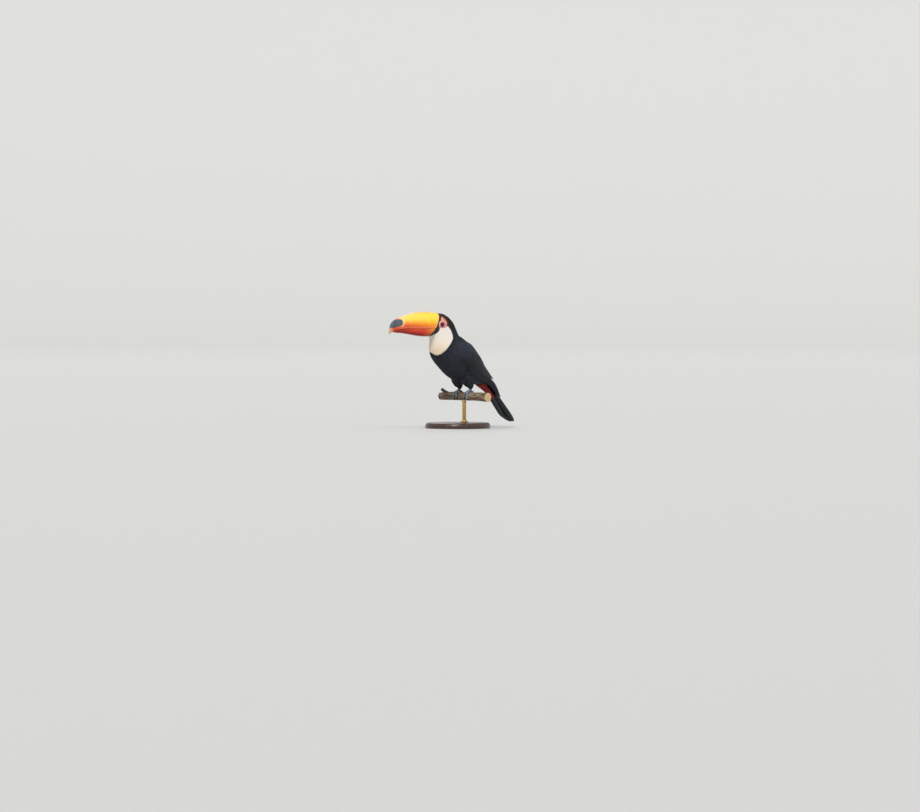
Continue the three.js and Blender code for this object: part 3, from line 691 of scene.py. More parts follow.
def coat(name, parts, material, slot, soft=True):
    """One mesh from several runs of tufts."""
    points, faces, marks, patches = zip(*parts)
    starts = np.cumsum([0, *map(len, points)])
    faces = np.concatenate([f + start for f, start in zip(faces, starts)])
    marks = {key: np.concatenate([own[key] for own in marks]) for key in marks[0]}
    add_mesh(name, np.concatenate(points), faces, material, slot, marks, np.concatenate(patches), soft)


def patch_over(low_s, high_s, low_t, high_t):
    """Roots' places on an unwrap of a form between these."""
    return lambda s, t: (0.01 + 0.97 * (s - low_s) / (high_s - low_s), 0.01 + 0.97 * (t - low_t) / (high_t - low_t))


def body_patch(s, t):
    """A body root's place on the unwrap of the whole skin."""
    return 0.003 + 0.99 * s / BODY_END, 0.003 + 0.99 * np.mod(t, TAU) / TAU


# ---- where the coat lies, and how deep


def face_edge(point):
    """Distance outside the bare skin's edge, large on the crown."""
    edge = edge_distance(point[..., 0], point[..., 2], FACE_OUTLINE)
    return np.where(np.abs(point[..., 1]) < 7, np.maximum(edge, 8), edge)


def throat_edge(point):
    tilt = 0.3 * point[..., 1] * smooth(245, 215, point[..., 2])  # its lower border hangs lower on the left
    return edge_distance(point[..., 0], point[..., 2] - np.clip(tilt, -5, 8), THROAT_OUTLINE)


def gape_edge(point):
    """Distance behind the black skin at the corner of the mouth, between the bill and the throat."""
    return point[..., 0] - row_at(GAPE_LINE, np.clip(point[..., 2], 256, 294))[..., 0]


def coat_depth(point):
    """How deep the skin lies below the feathers' tips."""
    down = smooth(300, 215, point[..., 2])
    return mix(0.8, 2.0, down) * mix(0.5, 1, smooth(-3, 1, throat_edge(point)))


def wing_covers(point, margin):
    """Whether the folded wing hides a point of the body, by a margin in millimetres."""
    u, degrees = wing_place(point)
    _, upper, lower = columns(WING_ARM, np.clip(u, *ARM_ENDS))
    behind = np.clip((u + 66) / 80, 0, 1)
    upper, lower = mix(upper, 24, behind), mix(lower, 99, behind)
    turn = margin * degrees_per_millimetre(np.clip(u, *BED_ENDS))
    return (u > -160 + margin) & (u < 30) & (degrees > upper + turn) & (degrees < lower - turn)


# ---- skin

rows = np.concatenate([np.linspace(0, 2.4, 110), np.linspace(2.4, BODY_END, 101)[1:]])
half_turn = np.radians(np.concatenate([
    np.linspace(0, 40, 16)[:-1], np.linspace(40, 130, 111)[:-1], np.linspace(130, 180, 19),
]))
turns = np.concatenate([half_turn, TAU - half_turn[-2:0:-1]])
S, T = np.meshgrid(rows, turns, indexing="ij")
surface, _, _, out = axes_on(body, S, T, 1e-3, 1e-3)
skin_x, _, skin_z = np.moveaxis(surface, -1, 0)
gape = smooth(0.4, -0.6, gape_edge(surface)) * smooth(1.4, 1.0, S)
bare = np.maximum(smooth(1.6, -0.4, face_edge(surface)) * smooth(2.6, 2.2, S), gape)
reach = np.hypot(skin_x - EYE_CENTRE[0], skin_z - EYE_CENTRE[2])
polar = np.arctan2(skin_z - EYE_CENTRE[2], skin_x - EYE_CENTRE[0])
crease = 0.16 * np.sin(reach * 2.1 + 0.9 * np.sin(3 * polar + 1)) * smooth(9, 12, reach)
crease += 0.12 * np.sin(polar * 31 + 2.2 * np.sin(reach * 0.9)) * smooth(9, 13, reach)
beak_root = skin_x - np.interp(skin_z, [261, 284, 323], [-129, -116, -95])
crease = crease * smooth(2.0, 5.0, beak_root) - 1.1 * smooth(4.0, 1.0, beak_root)  # the skin dips under the bill's rim
socket = 6.5 * smooth(9.6, 8.0, reach)
height = -coat_depth(surface) * (1 - bare) + bare * (crease - 0.25) - socket * bare

paint = Paint("skin", Roughness=0.5, Subsurface_Weight=0.15, Subsurface_Scale=0.002)
face_colour = paint.ramp(paint.noise(260.0, 4.0), "0.3 d07c5c 0.5 e09678 0.72 ecb49c")
# rim is painted shade: a dark red-brown on the bare skin's upper back edge, where it lies in shade
face_colour = paint.marked(face_colour, rosy="d48c8a", rim="7c3016", gape="101114", seam="2e1409")
paint.set("Base Color", paint.marked(paint.marked("0c0d11", white="f5efe2"), bare=face_colour))
paint.cells(900.0, 0.35, 0.0003)
solid(
    "skin", surface + height[..., None] * out, paint.material, "face_skin",
    ["head", "throat", "neck", "torso", "face_left", "face_right"],
    bare=bare,
    gape=gape,
    white=throat_edge(surface) < 1.5,
    seam=0.95 * smooth(2.2, 1.3, beak_root) * smooth(281, 287, skin_z),
    rosy=(0.8 * smooth(-103, -110, skin_x) + 0.75 * smooth(14, 10, reach)).clip(0, 0.95),
    # painted shade along the bare skin's upper back edge
    rim=0.9 * smooth(-3.5, -0.4, face_edge(surface)) * smooth(-104, -92, skin_x) * smooth(283, 292, skin_z),
)

# ---- coat of the head, throat and body

TIP_SHARE = 0.4  # the colour of a feather is that of the coat under this share of its length


def sizes(point):
    """Length and width of a body feather: small round the face, larger over the breast and back."""
    near_face = smooth(9, 0, face_edge(point))
    down = smooth(300, 200, point[..., 2])
    border = np.abs(throat_edge(point))
    length = mix(6.8, 15.0, down) * mix(1, 0.55, near_face) * mix(1, 0.7, smooth(6, 2, border))
    high = smooth(250, 274, point[..., 2])
    # Feathers grow shorter towards the bib's border, which keeps it clean.
    length = np.minimum(length, 3.3 + 0.87 * (np.maximum(border - 1, 0) + 6 * high))
    return length, np.maximum(length * mix(0.36, 0.4, down), mix(1.9, 0.9, high))


def flow_point(s, t, share=TIP_SHARE):
    """Where a share of the length of a feather rooted at s and t comes to lie."""
    point, ps, _, _ = axes_on(body, s, t, 1e-3, 1e-3)
    return body(s + share * sizes(point)[0] / np.linalg.norm(ps, axis=-1), t)


def body_coat(name, s_range, share, seed, lobes=6, white=False, extra=None, **more):
    """A piece of the coat; share is the area to each feather as a share of its length times its width."""

    def kept(s, t, point):
        tip = flow_point(s, t, 1.0)
        feathered = (face_edge(point) > -0.4) & (face_edge(tip) > 0.4)
        feathered &= ~wing_covers(point, 9) & (gape_edge(point) > -0.6)
        return feathered & ((throat_edge(flow_point(s, t)) < -0.9) == white)

    def area(point):
        length, width = sizes(point)
        return share * length * width

    part = covering(body, s_range, (0, TAU), area, sizes, coat_depth, (seed, seed), body_patch, kept, lobes=lobes,
                    extra=extra or LIT, **more)
    material, slot = (WHITE_FEATHER, "white_plumage") if white else (BLACK_FEATHER, "black_plumage")
    coat(name, [part], material, slot, soft=not white)


def cream_and_shade(point):
    """The throat's cream tint, yellower and darker towards its front and bottom: partly its own cream colour, partly
    painted shade where the throat turns away from the light.
    """
    low = smooth(275, 215, point[..., 2])
    return np.clip(0.15 + low * mix(0.35, 0.8, smooth(-80, -112, point[..., 0])), 0, 1)


def russet(point):
    """Painted shade: a dark red-brown fringe painted on the feathers round the back of the bare skin, where the face's
    edge lies in shade.
    """
    return smooth(5.2, 1.6, face_edge(point)) * smooth(-108, -98, point[..., 0]) * smooth(284, 292, point[..., 2])


def lit(point):
    """Painted sheen: where a bluer, paler colour is painted on the neck's base and the mantle, for the light that their
    gloss catches.
    """
    return smooth(190, 235, point[..., 2]) * smooth(292, 258, point[..., 2])


# lit marks where the painted sheen lies
LIT = {"lit": lit}
# the crown's blush is the russet fringe's painted shade
body_coat("coat_crown", (0, 2.4), 0.13, 11, 5, extra={"blush": russet, **LIT})
body_coat("coat_nape", (2.4, 5.2), 0.15, 12, 5)
body_coat("coat_neck", (5.2, 7.8), 0.132, 16)
body_coat("coat_throat", (0, 8.2), 0.127, 13, 5, True, extra={"blush": cream_and_shade}, ridge=0.03, lift=0.04, full=0.78)
body_coat("coat_breast", (7.8, 11.2), 0.112, 14)
body_coat("coat_belly", (11.2, BODY_END), 0.108, 15)

# ---- thighs


def between(foot, belly):
    """A measure of the thigh's feathers that grows from the foot up to the belly."""
    return lambda point: mix(foot, belly, smooth(116, 140, point[..., 2]))


def thigh_sizes(point):
    return between(8.5, 15.0)(point), between(2.6, 5.2)(point)


thigh_parts = []
for name, side in SIDES.items():
    y = side * FOOT_SPREAD
    thigh = tube_form([
        [-15, side * 16, 154, 14],
        [-9, side * 20.5, 139, 17],
        [-2, side * 23.5, 127, 14.2],
        [2.4, y, 118.6, 9.6],
        [3, y, 114, 6.4],
    ])
    thigh_parts.append(covering(
        thigh, (0.1, 3.85), (0, TAU), between(3.2, 8.0), thigh_sizes, between(1.0, 1.9), (21, 22),
        lambda s, t: (0.01 + 0.97 * s / 4, 0.01 + 0.48 * (side > 0) + 0.47 * t / TAU),
    ))
    s, t = turned(0.3, 4, 40, 48)
    core, _, _, out = axes_on(thigh, s, t, 1e-3, 1e-3)
    inner = mix(1.9, 1.0, smooth(2.5, 3.8, s))[..., None]
    solid("thigh_skin_" + name, core - inner * out, BLACK_FEATHER, "black_plumage", ["thigh_" + name])
coat("coat_thighs", thigh_parts, BLACK_FEATHER, "black_plumage")

# ---- flight feathers and coverts

VANE_SHARES = np.concatenate([np.linspace(0, 0.84, 9), [0.87, 0.9, 0.925, 0.95, 0.968, 0.982, 0.992, 1]])
VANE_ACROSS = np.array([-1, -0.8, -0.55, -0.28, -0.07, 0, 0.07, 0.28, 0.55, 0.8, 1])


def vane_width(share):
    """Width of a vane along its length, rounded at its tip."""
    body_part = np.interp(share, [0, 0.12, 0.45, 0.88, 1], [0.55, 0.78, 1, 0.92, 0.8])
    return body_part * np.sqrt(np.clip(1 - (np.maximum(share - 0.84, 0) / 0.1605) ** 2, 0, 1))


def vane(pile, place, width, length, own, quill=0.32):
    """Adds a vane: place(share, across in millimetres, height) gives its points."""
    share, across = np.meshgrid(VANE_SHARES, VANE_ACROSS, indexing="ij")
    wide = across * width / 2 * vane_width(share)
    arched = 0.3 * (1 - across**2)
    raised = arched + quill * np.exp(-((across * width / 2) / 0.55) ** 2) * (1 - 0.75 * share)
    edge = 0.42 * (1 - 0.55 * np.abs(across) ** 3) / 2
    points, faces = closed_sheet(place(share, wide, raised + edge), place(share, wide, arched - edge))
    barb = share * length - 0.9 * np.abs(wide)
    pile.add(points, faces, own=own, across=np.tile(across.ravel(), 2), barb=np.tile(barb.ravel(), 2))


def root_at(u, degrees):
    """Where a vane is rooted: u, degrees and a height inside the wing's arm."""
    rise, upper, lower = columns(WING_ARM, u)
    across = np.clip((2 * (degrees - upper)) / (lower - upper) - 1, -1, 1)
    return [u, degrees, rise * (1 - 0.85 * across**4) / 2]


def on_arm(u, degrees, point):
    _, upper, lower = columns(WING_ARM, np.clip(u, *ARM_ENDS))
    return (degrees > upper - 3) & (degrees < lower + 3)


def mantle_sizes(point):
    length = mix(9.5, 19.0, smooth(-164, -130, wing_place(point)[0]))
    return length, 0.4 * length


# Each tier: how many, root u and degrees, tip u, degrees and height from the first to the last, width and tilt.
FLIGHT = {
    "primaries": (8, -82, (84, 106), (22, 58), (62, 97), (2.2, 2.6), 10, 2.6),
    "secondaries": (8, -84, (59, 85), (3, -16), (49, 81), (4.2, 4.2), 10, 2.4),
    "tertials": (5, -88, (31, 54), (-22, 4), (16, 41), (4.3, 4.3), 12.5, 2.8),
}
COVERTS = {
    "greater": (10, -112, (43, 100), (-56, -71), (42, 102), (5.6, 5.9), 11, 1.9),
    "median": (9, -138, (48, 94), (-93, -103), (46, 98), (6.6, 7), 11.5, 1.9),
    "scapulars": (9, -116, (18, 52), (-50, -63), (9, 40), (5.2, 5.5), 12, 2.4),
}

for name, side in SIDES.items():
    rng = np.random.default_rng(31)
    for piece, tiers, replaced in (("flight_feathers_", FLIGHT, ["wing_" + name]), ("wing_coverts_", COVERTS, ())):
        pile = Pile()
        for count, root_u, root_turn, tip_u, tip_turn, tip_height, width, tilt in tiers.values():
            for f in np.arange(count) / (count - 1):
                root = root_at(root_u, mix(*root_turn, f) + rng.normal(0, 0.4))
                tip = [mix(*tip_u, f) + rng.normal(0, 1.2), mix(*tip_turn, f) + rng.normal(0, 0.4), mix(*tip_height, f)]

                def place(share, wide, height):
                    u, degrees, high = (mix(a, b, share) for a, b in zip(root, tip))
                    turn = wide * degrees_per_millimetre(u)
                    points = on_wing(side, u, degrees + turn, high + wide / width * tilt + height)
                    points[..., 1] -= side * 5 * smooth(0, 60, u)  # the tips close in on the tail
                    return points

                vane(pile, place, width, tip[0] - root[0], rng.uniform())
        pile.object(piece + name, BLACK_VANE, "black_plumage", replaced, crisp=True)

    u, share = np.meshgrid(np.linspace(-167, -60, 50), np.linspace(-1, 1, 41), indexing="ij")
    _, upper, lower = columns(WING_ARM, u)
    degrees = mix(upper, lower, (share + 1) / 2)
    skin_top = on_wing(side, u, degrees, arm_height(u, degrees) * 0.7 - 1.0)
    points, faces = closed_sheet(skin_top, on_wing(side, u, degrees, -3.2))
    add_mesh("wing_skin_" + name, points, outward_faces(points, [faces]), BLACK_FEATHER, "black_plumage",
             replaced=["wing_" + name])

    def arm(u, degrees):
        return on_wing(side, u, degrees, arm_height(u, degrees) + 0.4)

    def cape(u, degrees):
        """The shoulder's feathers, from the mantle up over the roots of the scapulars."""
        rise = 5.8 * smooth(1, 25, degrees) * smooth(-156, -118, u) - 3 * smooth(-130, -154, u)
        return on_wing(side, u, degrees, np.maximum(rise, arm_height(u, degrees) + 0.4))

    lesser = covering(arm, (-168, -112), (20, 112), 6.0, (13.0, 6.0), 1.4, (33, 34), patch_over(-168, -112, 20, 112),
                      on_arm, lobes=6, outward=side, lift=0.2, extra=LIT)
    mantle = covering(cape, (-166, -84), (1, 54), lambda point: 0.028 * mantle_sizes(point)[0] ** 2, mantle_sizes, 1.6,
                      (35, 36), patch_over(-168, -78, 0, 60), lobes=7, outward=side, lift=0.2, extra=LIT)
    coat("coat_wing_" + name, [lesser, mantle], BLACK_FEATHER, "black_plumage")

# ---- tail, rump and vent

tail = Pile()
rng = np.random.default_rng(41)
TAIL_PAIRS, TAIL_TOP, TAIL_STEP, TAIL_ROOT, TAIL_WIDTH = 5, 72, 0.85, 9, 25
for pair in range(TAIL_PAIRS):
    for second, side in enumerate(SIDES.values()):
        level = TAIL_TOP - TAIL_STEP * (2 * pair + second)
        length = TAIL_LENGTH - 1.2 * pair**2
        y = 2 + 1.7 * pair
        splay = length * math.tan(math.radians(0.4 + 0.85 * pair))

        def place(share, wide, height):
            n = level + height - 0.9 * (wide * 2 / TAIL_WIDTH) ** 2
            return in_body(mix(TAIL_ROOT, length, share), n, side * mix(y, y + splay, share) + wide)

        vane(tail, place, TAIL_WIDTH, length, rng.uniform(), quill=0.5)
root_form = axis_form([[2, 73, 61, 8], [9, 73.2, 60.6, 13], [20, 72.8, 61, 13.5], [27, 71.6, 62.5, 10]])
tail.add(*closed_tube(root_form(*turned(3, 27, 12, 32))), own=0.3, across=0.0, barb=0.0)
tail.object("tail_feathers", BLACK_VANE, "black_plumage", ["tail"], crisp=True)

RUMP = [
    [-15, 79.3, 70, 10], [-4, 81.6, 71, 15], [8, 82.2, 72, 16.5], [22, 80.4, 72, 16], [34, 78.5, 71, 13],
    [50, 76.5, 70, 9.5], [60, 75.6, 70, 6],
]
VENT = [
    [-14, 58, 34, 13], [-2, 59.5, 41, 16.5], [14, 60, 47, 15.5], [30, 61, 52.5, 13], [48, 63.5, 57.5, 9.5],
    [60, 64.2, 60.5, 6],
]
for name, stations, middle, material, slot, seed in (
    ("rump", RUMP, 0, RUMP_FEATHER, "white_plumage", 51),
    ("vent", VENT, math.pi, RED_FEATHER, "red_plumage", 52),
):
    form = axis_form(stations)
    low, high = middle - math.radians(100), middle + math.radians(100)
    part = covering(form, (stations[0][0] + 1, 46), (low, high), 5.0, (15.0, 5.5), 1.6, (seed, seed),
                    patch_over(-16, 48, low, low + 3.5), lobes=6)
    coat("coat_" + name, [part], material, slot, soft=name != "rump")
    if name == "rump":  # the back's last black feathers lie over the white ones' roots
        over = axis_form([[u, top + 0.5, under, width + 0.5] for u, top, under, width in stations])
        part = covering(over, (-15, -3), (low, high), 6.0, (12.0, 4.6), 1.4, (53, 53), patch_over(-16, 48, -1.75, 1.75))
        coat("coat_lower_back", [part], BLACK_FEATHER, "black_plumage")
    core, _, _, out = axes_on(form, *turned(stations[0][0], 52, 30, 40), 1e-2, 1e-3)
    solid(name + "_skin", core - 1.8 * out, material, slot, [name])

# ---- bill

HORN = {"Roughness": 0.36, "Specular_IOR_Level": 0.35, "Coat_Weight": 0.12, "Coat_Roughness": 0.15,
        "Subsurface_Weight": 0.06, "Subsurface_Scale": 0.003}
PALATE = np.linspace(1, -1, 13)[1:-1]


def edge_z(x):
    """Height of the bill's cutting edge."""
    return row_at(CUTTING_EDGE, x)[..., 0]


def tooth_marks(paint, colour, turns, low, high, share, dark):
    """Thin dark marks across the cutting edge."""
    wave = paint.math("MULTIPLY", paint.attribute("ahead"), turns)
    wave = paint.math("SINE", paint.math("MULTIPLY_ADD", paint.noise(9.0, 2.0), 9.0, wave))
    near_edge = paint.rises(paint.attribute("up"), low, high, share)
    return paint.blend(paint.math("MULTIPLY", paint.rises(wave, 0.86, 1.0), near_edge), colour, dark)


def bill_grid(table, first, last, rows, cols, square):
    """A bill table's columns over a grid of arches, each point's share of its arch's height, and of its width."""
    f = np.linspace(0, 1, cols)
    row, turn = np.meshgrid(np.linspace(first, last, rows), math.pi * mix(f, f * f * (3 - 2 * f), 0.6), indexing="ij")
    across = np.sign(np.cos(turn)) * np.abs(np.cos(turn)) ** square
    return (*columns(numbered(table), row), np.sin(turn) ** 0.9, across)


def bill_half(name, paint, half, arch, edge_x, rim_z, half_width, vault, up_inside=0.0, **marks):
    """A half of the bill: its arches, closed by a palate from one cutting edge to the other."""
    vault = vault * (1 - PALATE**2) * smooth(0, 6, half_width[:, :1])
    palate = np.stack(np.broadcast_arrays(edge_x[:, :1], -PALATE * half_width[:, :1], rim_z[:, :1] + vault), -1)
    for key, values in marks.items():
        inside = up_inside if key == "up" else 0.0
        marks[key] = np.append(np.pad(values, ((0, 0), (0, len(PALATE))), constant_values=inside), [inside, inside])
    paint.bump(paint.noise(90.0, 5.0, Scale=(1.0, 1.0, 0.3)), 0.12, 0.0006)
    solid(name, np.concatenate([np.stack(arch, -1), palate], 1), paint.material, "bill", [half], **marks)


paint = Paint("bill_upper", **HORN)
level = paint.stirred(paint.attribute("up"), 0.22, 22.0, 4.0, Scale=(1.0, 1.0, 0.35))
level = paint.stirred(level, 0.16, 60.0, 5.0, Scale=(1.0, 0.4, 0.12))
# Colours from the cutting edge up to the culmen: at the bill's root, and in zones that follow ahead of it.
colour = paint.ramp(level, "0 f67e10 0.12 fb8e10 0.24 fca61a 0.38 fdc82c 0.56 f7da36 0.85 f6dc40 1 f2be38")
for low, high, stops in (
    (0.02, 0.42, "0 d4380f 0.12 e85a16 0.27 f28c27 0.43 fbbc38 0.6 fbda48 0.92 fbdc50 1 f6b440"),
    (0.42, 0.76, "0 c82c1a 0.18 df4e2c 0.35 f07c38 0.5 fbb044 0.68 fdd25c 0.94 fbd268 1 eea860"),
    (0.74, 0.88, "0 a81c16 0.3 c83a2a 0.6 e38256 0.85 e6a284 1 d88468"),
):
    colour = paint.blend(paint.rises(paint.attribute("ahead"), low, high), colour, paint.ramp(level, stops))
colour = tooth_marks(paint, colour, 125.0, 0.3, 0.02, 0.4, "a83414")
# edge is a painted highlight: a pale line painted along the upper half's cutting edge at the mouth line
paint.set("Base Color", paint.marked(
    colour, edge="ff9c68", horn="b9a27a", pale="f6dca0", black=paint.blend(paint.noise(45.0), "2c343c", "606b76"),
    root="f9ac78", band="281208",
))

top_x, top_z, edge_x, half_width, up, across = bill_grid(UPPER_BILL, 0.6, 11, 190, 91, 0.85)
foot_z = edge_z(edge_x)
notch = 0.4 * np.abs(np.sin(edge_x / 3.4 + 0.8 * np.sin(edge_x / 11))) ** 3
notch *= smooth(-132, -145, edge_x) * smooth(-262, -250, edge_x)
growth = 0.16 * np.sin(top_x / 5.1 + 1.3 * np.sin(top_x / 17)) * smooth(-100, -130, top_x)
x = mix(edge_x, top_x, up)
y = across * (half_width + growth * 0.5 + 0.35 * np.exp(-((top_x + 101) / 2.2) ** 2))
z = mix(foot_z, top_z, up) + growth * up + notch * smooth(0.16, 0.0, up)
nostril = 0 * z
for side in SIDES.values():
    pit = np.exp(-(((x + 101.5) / 2.6) ** 2 + ((y - side * 9.5) / 1.9) ** 2)) * (up > 0.6)
    z -= 2.6 * pit
    nostril = np.maximum(nostril, smooth(0.25, 0.6, pit))
patch_edge = edge_distance(x, z, TIP_PATCH)
base_edge = mix(-116, -95, up)
bill_half(
    "bill_upper_horn", paint, "bill_upper", (x, y, z), edge_x, foot_z, half_width, 1.6,
    ahead=(-95 - x - 21 * (1 - up)) / 180,
    up=up,
    # where the painted highlight along the mouth line lies
    edge=0.75 * smooth(0.08, 0.03, up) * smooth(-118, -135, x) * smooth(-246, -236, x),
    horn=0.85 * smooth(287, 275, z) * smooth(-261, -269, x),
    pale=0.6 * smooth(6.5, 1.0, patch_edge) * smooth(-244, -237, x),
    black=smooth(1.1, -1.1, patch_edge),
    root=0.6 * smooth(base_edge - 12, base_edge - 7, x),
    band=np.maximum(smooth(base_edge - 6.4, base_edge - 5.4, x), nostril),
)

paint = Paint("bill_lower", **HORN)
level = paint.stirred(paint.attribute("up"), 0.3, 55.0, 5.0, Scale=(1.0, 0.4, 0.15))
near = paint.ramp(level, "0 b84214 0.35 dd6418 0.7 f08620 1 f28f27")
far = paint.ramp(level, "0 8e1a12 0.35 c02a1a 0.75 dc4024 1 e64e2a")
colour = paint.blend(paint.rises(paint.attribute("ahead"), 0.04, 0.3), near, far)
colour = paint.blend(paint.rises(paint.attribute("ahead"), 0.5, 0.85, 0.7), colour, "961d12")
colour = tooth_marks(paint, colour, 97.0, 0.6, 0.98, 0.35, "7a1609")
# edge is a painted highlight: a pale line painted along the lower half's cutting edge at the mouth line
paint.set("Base Color", paint.marked(colour, edge="f6a45a", black="0f1014"))

edge_x, low_x, low_z, half_width, down, across = bill_grid(LOWER_BILL, 0.5, 8, 150, 75, 0.7)
rim_z = edge_z(edge_x) - 0.35
x = mix(edge_x, low_x, down)
growth = 0.12 * np.sin(low_x / 4.7 + np.sin(low_x / 15)) * smooth(-128, -150, low_x)
bill_half(  # its palate rises into the upper half, so no light passes between the two
    "bill_lower_horn", paint, "bill_lower", (x, across * (half_width + growth - 0.25), mix(rim_z, low_z, down)),
    edge_x, rim_z, half_width, 1.2, 0.2,
    ahead=(mix(-118, -129, down) - x) / 140,
    up=1 - down,
    # where the painted highlight along the mouth line lies
    edge=0.55 * smooth(0.09, 0.02, down) * smooth(-124, -138, x),
    black=smooth(-1.7, 1.7, x - mix(-121.5, -142, down)),
)

# ---- eyes

eye_paint = Paint("eye", Roughness=0.15, Specular_IOR_Level=0.1, Coat_Weight=0.6, Coat_Roughness=0.02)
iris = eye_paint.ramp(
    eye_paint.attribute("off_axis"), "0 050203 0.25 050203 0.28 4a1020 0.5 742038 0.66 5c142c 0.74 2a0a14 1 120609")
flecks = eye_paint.math("MULTIPLY", eye_paint.noise(900.0, 4.0), 0.5)
eye_paint.set("Base Color", eye_paint.blend(flecks, iris, "1c060a", "ADD"))

lid_paint = Paint("eye_ring", Roughness=0.42, Subsurface_Weight=0.15, Subsurface_Scale=0.002)
colour = lid_paint.ramp(lid_paint.noise(420.0, 4.0), "0.3 7e5276 0.5 a06a84 0.72 bd8c9e")
lid_paint.set("Base Color", lid_paint.marked(colour, outer="de9a90", inner="3c1f4a"))
lid_paint.cells(1300.0, 0.3, 0.0002)

# Radius and height over the eye's centre of the ring of skin round it.
LID_PROFILE = numbered([
    [5.45, 5.0], [5.5, 6.0], [5.65, 6.75], [6.1, 7.3], [6.8, 7.45], [7.7, 7.2], [8.6, 6.6], [9.4, 5.8], [10.0, 4.9],
    [10.4, 3.8], [10.2, 2.2],
])
for name, side in SIDES.items():
    centre = np.array(EYE_CENTRE) * [1, side, 1]
    outward = np.array([-math.sin(EYE_FORWARD), side * math.cos(EYE_FORWARD), 0])
    forward = unit(np.cross([0, 0, 1.0], outward))
    upward = np.cross(outward, forward)

    def on_eye(radius, high, turn):
        return (centre + high[..., None] * outward + (radius * np.cos(turn))[..., None] * forward
                + (radius * np.sin(turn))[..., None] * upward)

    off, turn = turned(0.02, 2.3, 70, 64)
    radius = EYE_RADIUS - 0.2 + 0.15 * np.exp(-((off / 0.55) ** 2))  # the cornea stands out a little
    solid("eyeball_" + name, on_eye(radius * np.sin(off), radius * np.cos(off), turn), eye_paint.material, "eye",
          ["eye_" + name], off_axis=np.append(off, [0, 2.3]))

    k, turn = turned(0, 10, 41, 180)
    radius, high = columns(LID_PROFILE, k)
    fold = np.sin(turn * 34 + 1.5 * np.sin(turn * 5)) * smooth(2.5, 5.5, k)
    high = high + 0.13 * fold + 0.12 * np.sin(k * 2.6) * smooth(3, 5, k)
    radius = radius * (1 + 0.05 * smooth(2, 6, k) * np.sin(turn) ** 2) + 0.1 * np.sin(turn * 17) * smooth(6, 9, k)
    inside = on_eye(radius - 0.9, np.minimum(high - 0.9, 4.6), turn)
    loop = np.concatenate([on_eye(radius, high, turn), inside[::-1]])
    points = loop.reshape(-1, 3)
    marks = {"outer": smooth(4.2, 6.0, k), "inner": smooth(2.6, 1.2, k)}
    marks = {key: np.concatenate([values, values[::-1]]) for key, values in marks.items()}
    add_mesh("eye_ring_" + name, points, outward_faces(points, [grid_faces(*loop.shape[:2], True, True)]),
             lid_paint.material, "eyelid", marks, replaced=["eyelid_" + name])

# ---- feet

TOES = [(112, 8), (94, -7), (-98, 8.5), (-76, -6)]  # degrees round the branch and sideways reach of each toe
PERCH_TOP = PERCH_HEIGHT + PERCH_RADIUS
leg_paint = Paint("scaled_skin", Roughness=0.5, Subsurface_Weight=0.06, Subsurface_Scale=0.002)
colour = leg_paint.ramp(leg_paint.noise(240.0, 4.0), "0.3 48566a 0.52 687888 0.75 8e9ba8")
seams = leg_paint.rises(leg_paint.attribute("seam"), 0.2, 1.0, 0.7)
leg_paint.set("Base Color", leg_paint.blend(seams, colour, "2a333f"))
leg_paint.cells(700.0, 0.3, 0.0004)
claw_paint = Paint("claw_horn", Roughness=0.28, Coat_Weight=0.3, Coat_Roughness=0.15)
claw_paint.set("Base Color", claw_paint.ramp(claw_paint.attribute("along"), "0 3c3a3c 0.5 1d1c20 1 0e0e11"))


def on_perch(degrees, y, radius, clear=0.3):
    """A path round the branch for something of a radius."""
    a = np.radians(degrees)
    out = PERCH_RADIUS + clear + radius
    return np.stack(np.broadcast_arrays(-out * np.sin(a), y, PERCH_HEIGHT + out * np.cos(a)), -1)


def scaled_tube(path, radius, length, scute, turns, up):
    """Rings round a path with a raised overlapping scute every few millimetres on the side that up points to."""
    along = unit(np.gradient(path, axis=0))
    up = unit(up - along * (up * along).sum(-1, keepdims=True))
    across = np.cross(up, along)
    phase = (np.linspace(0, length, len(path)) / scute) % 1
    step = (1 - phase) ** 1.5 * 0.34 - 0.17
    front = smooth(-0.1, 0.5, np.cos(once_round(turns)))
    r = radius[:, None] + step[:, None] * (0.35 + 0.65 * front) - 0.12 * (1 - front)
    return rings_round(path, r, up, across), np.repeat(smooth(0.72, 0.98, phase), turns)


def from_perch(path):
    """Which way each point of a path lies from the branch's axis."""
    return path * [1, 0, 1] - [0, 0, PERCH_HEIGHT]


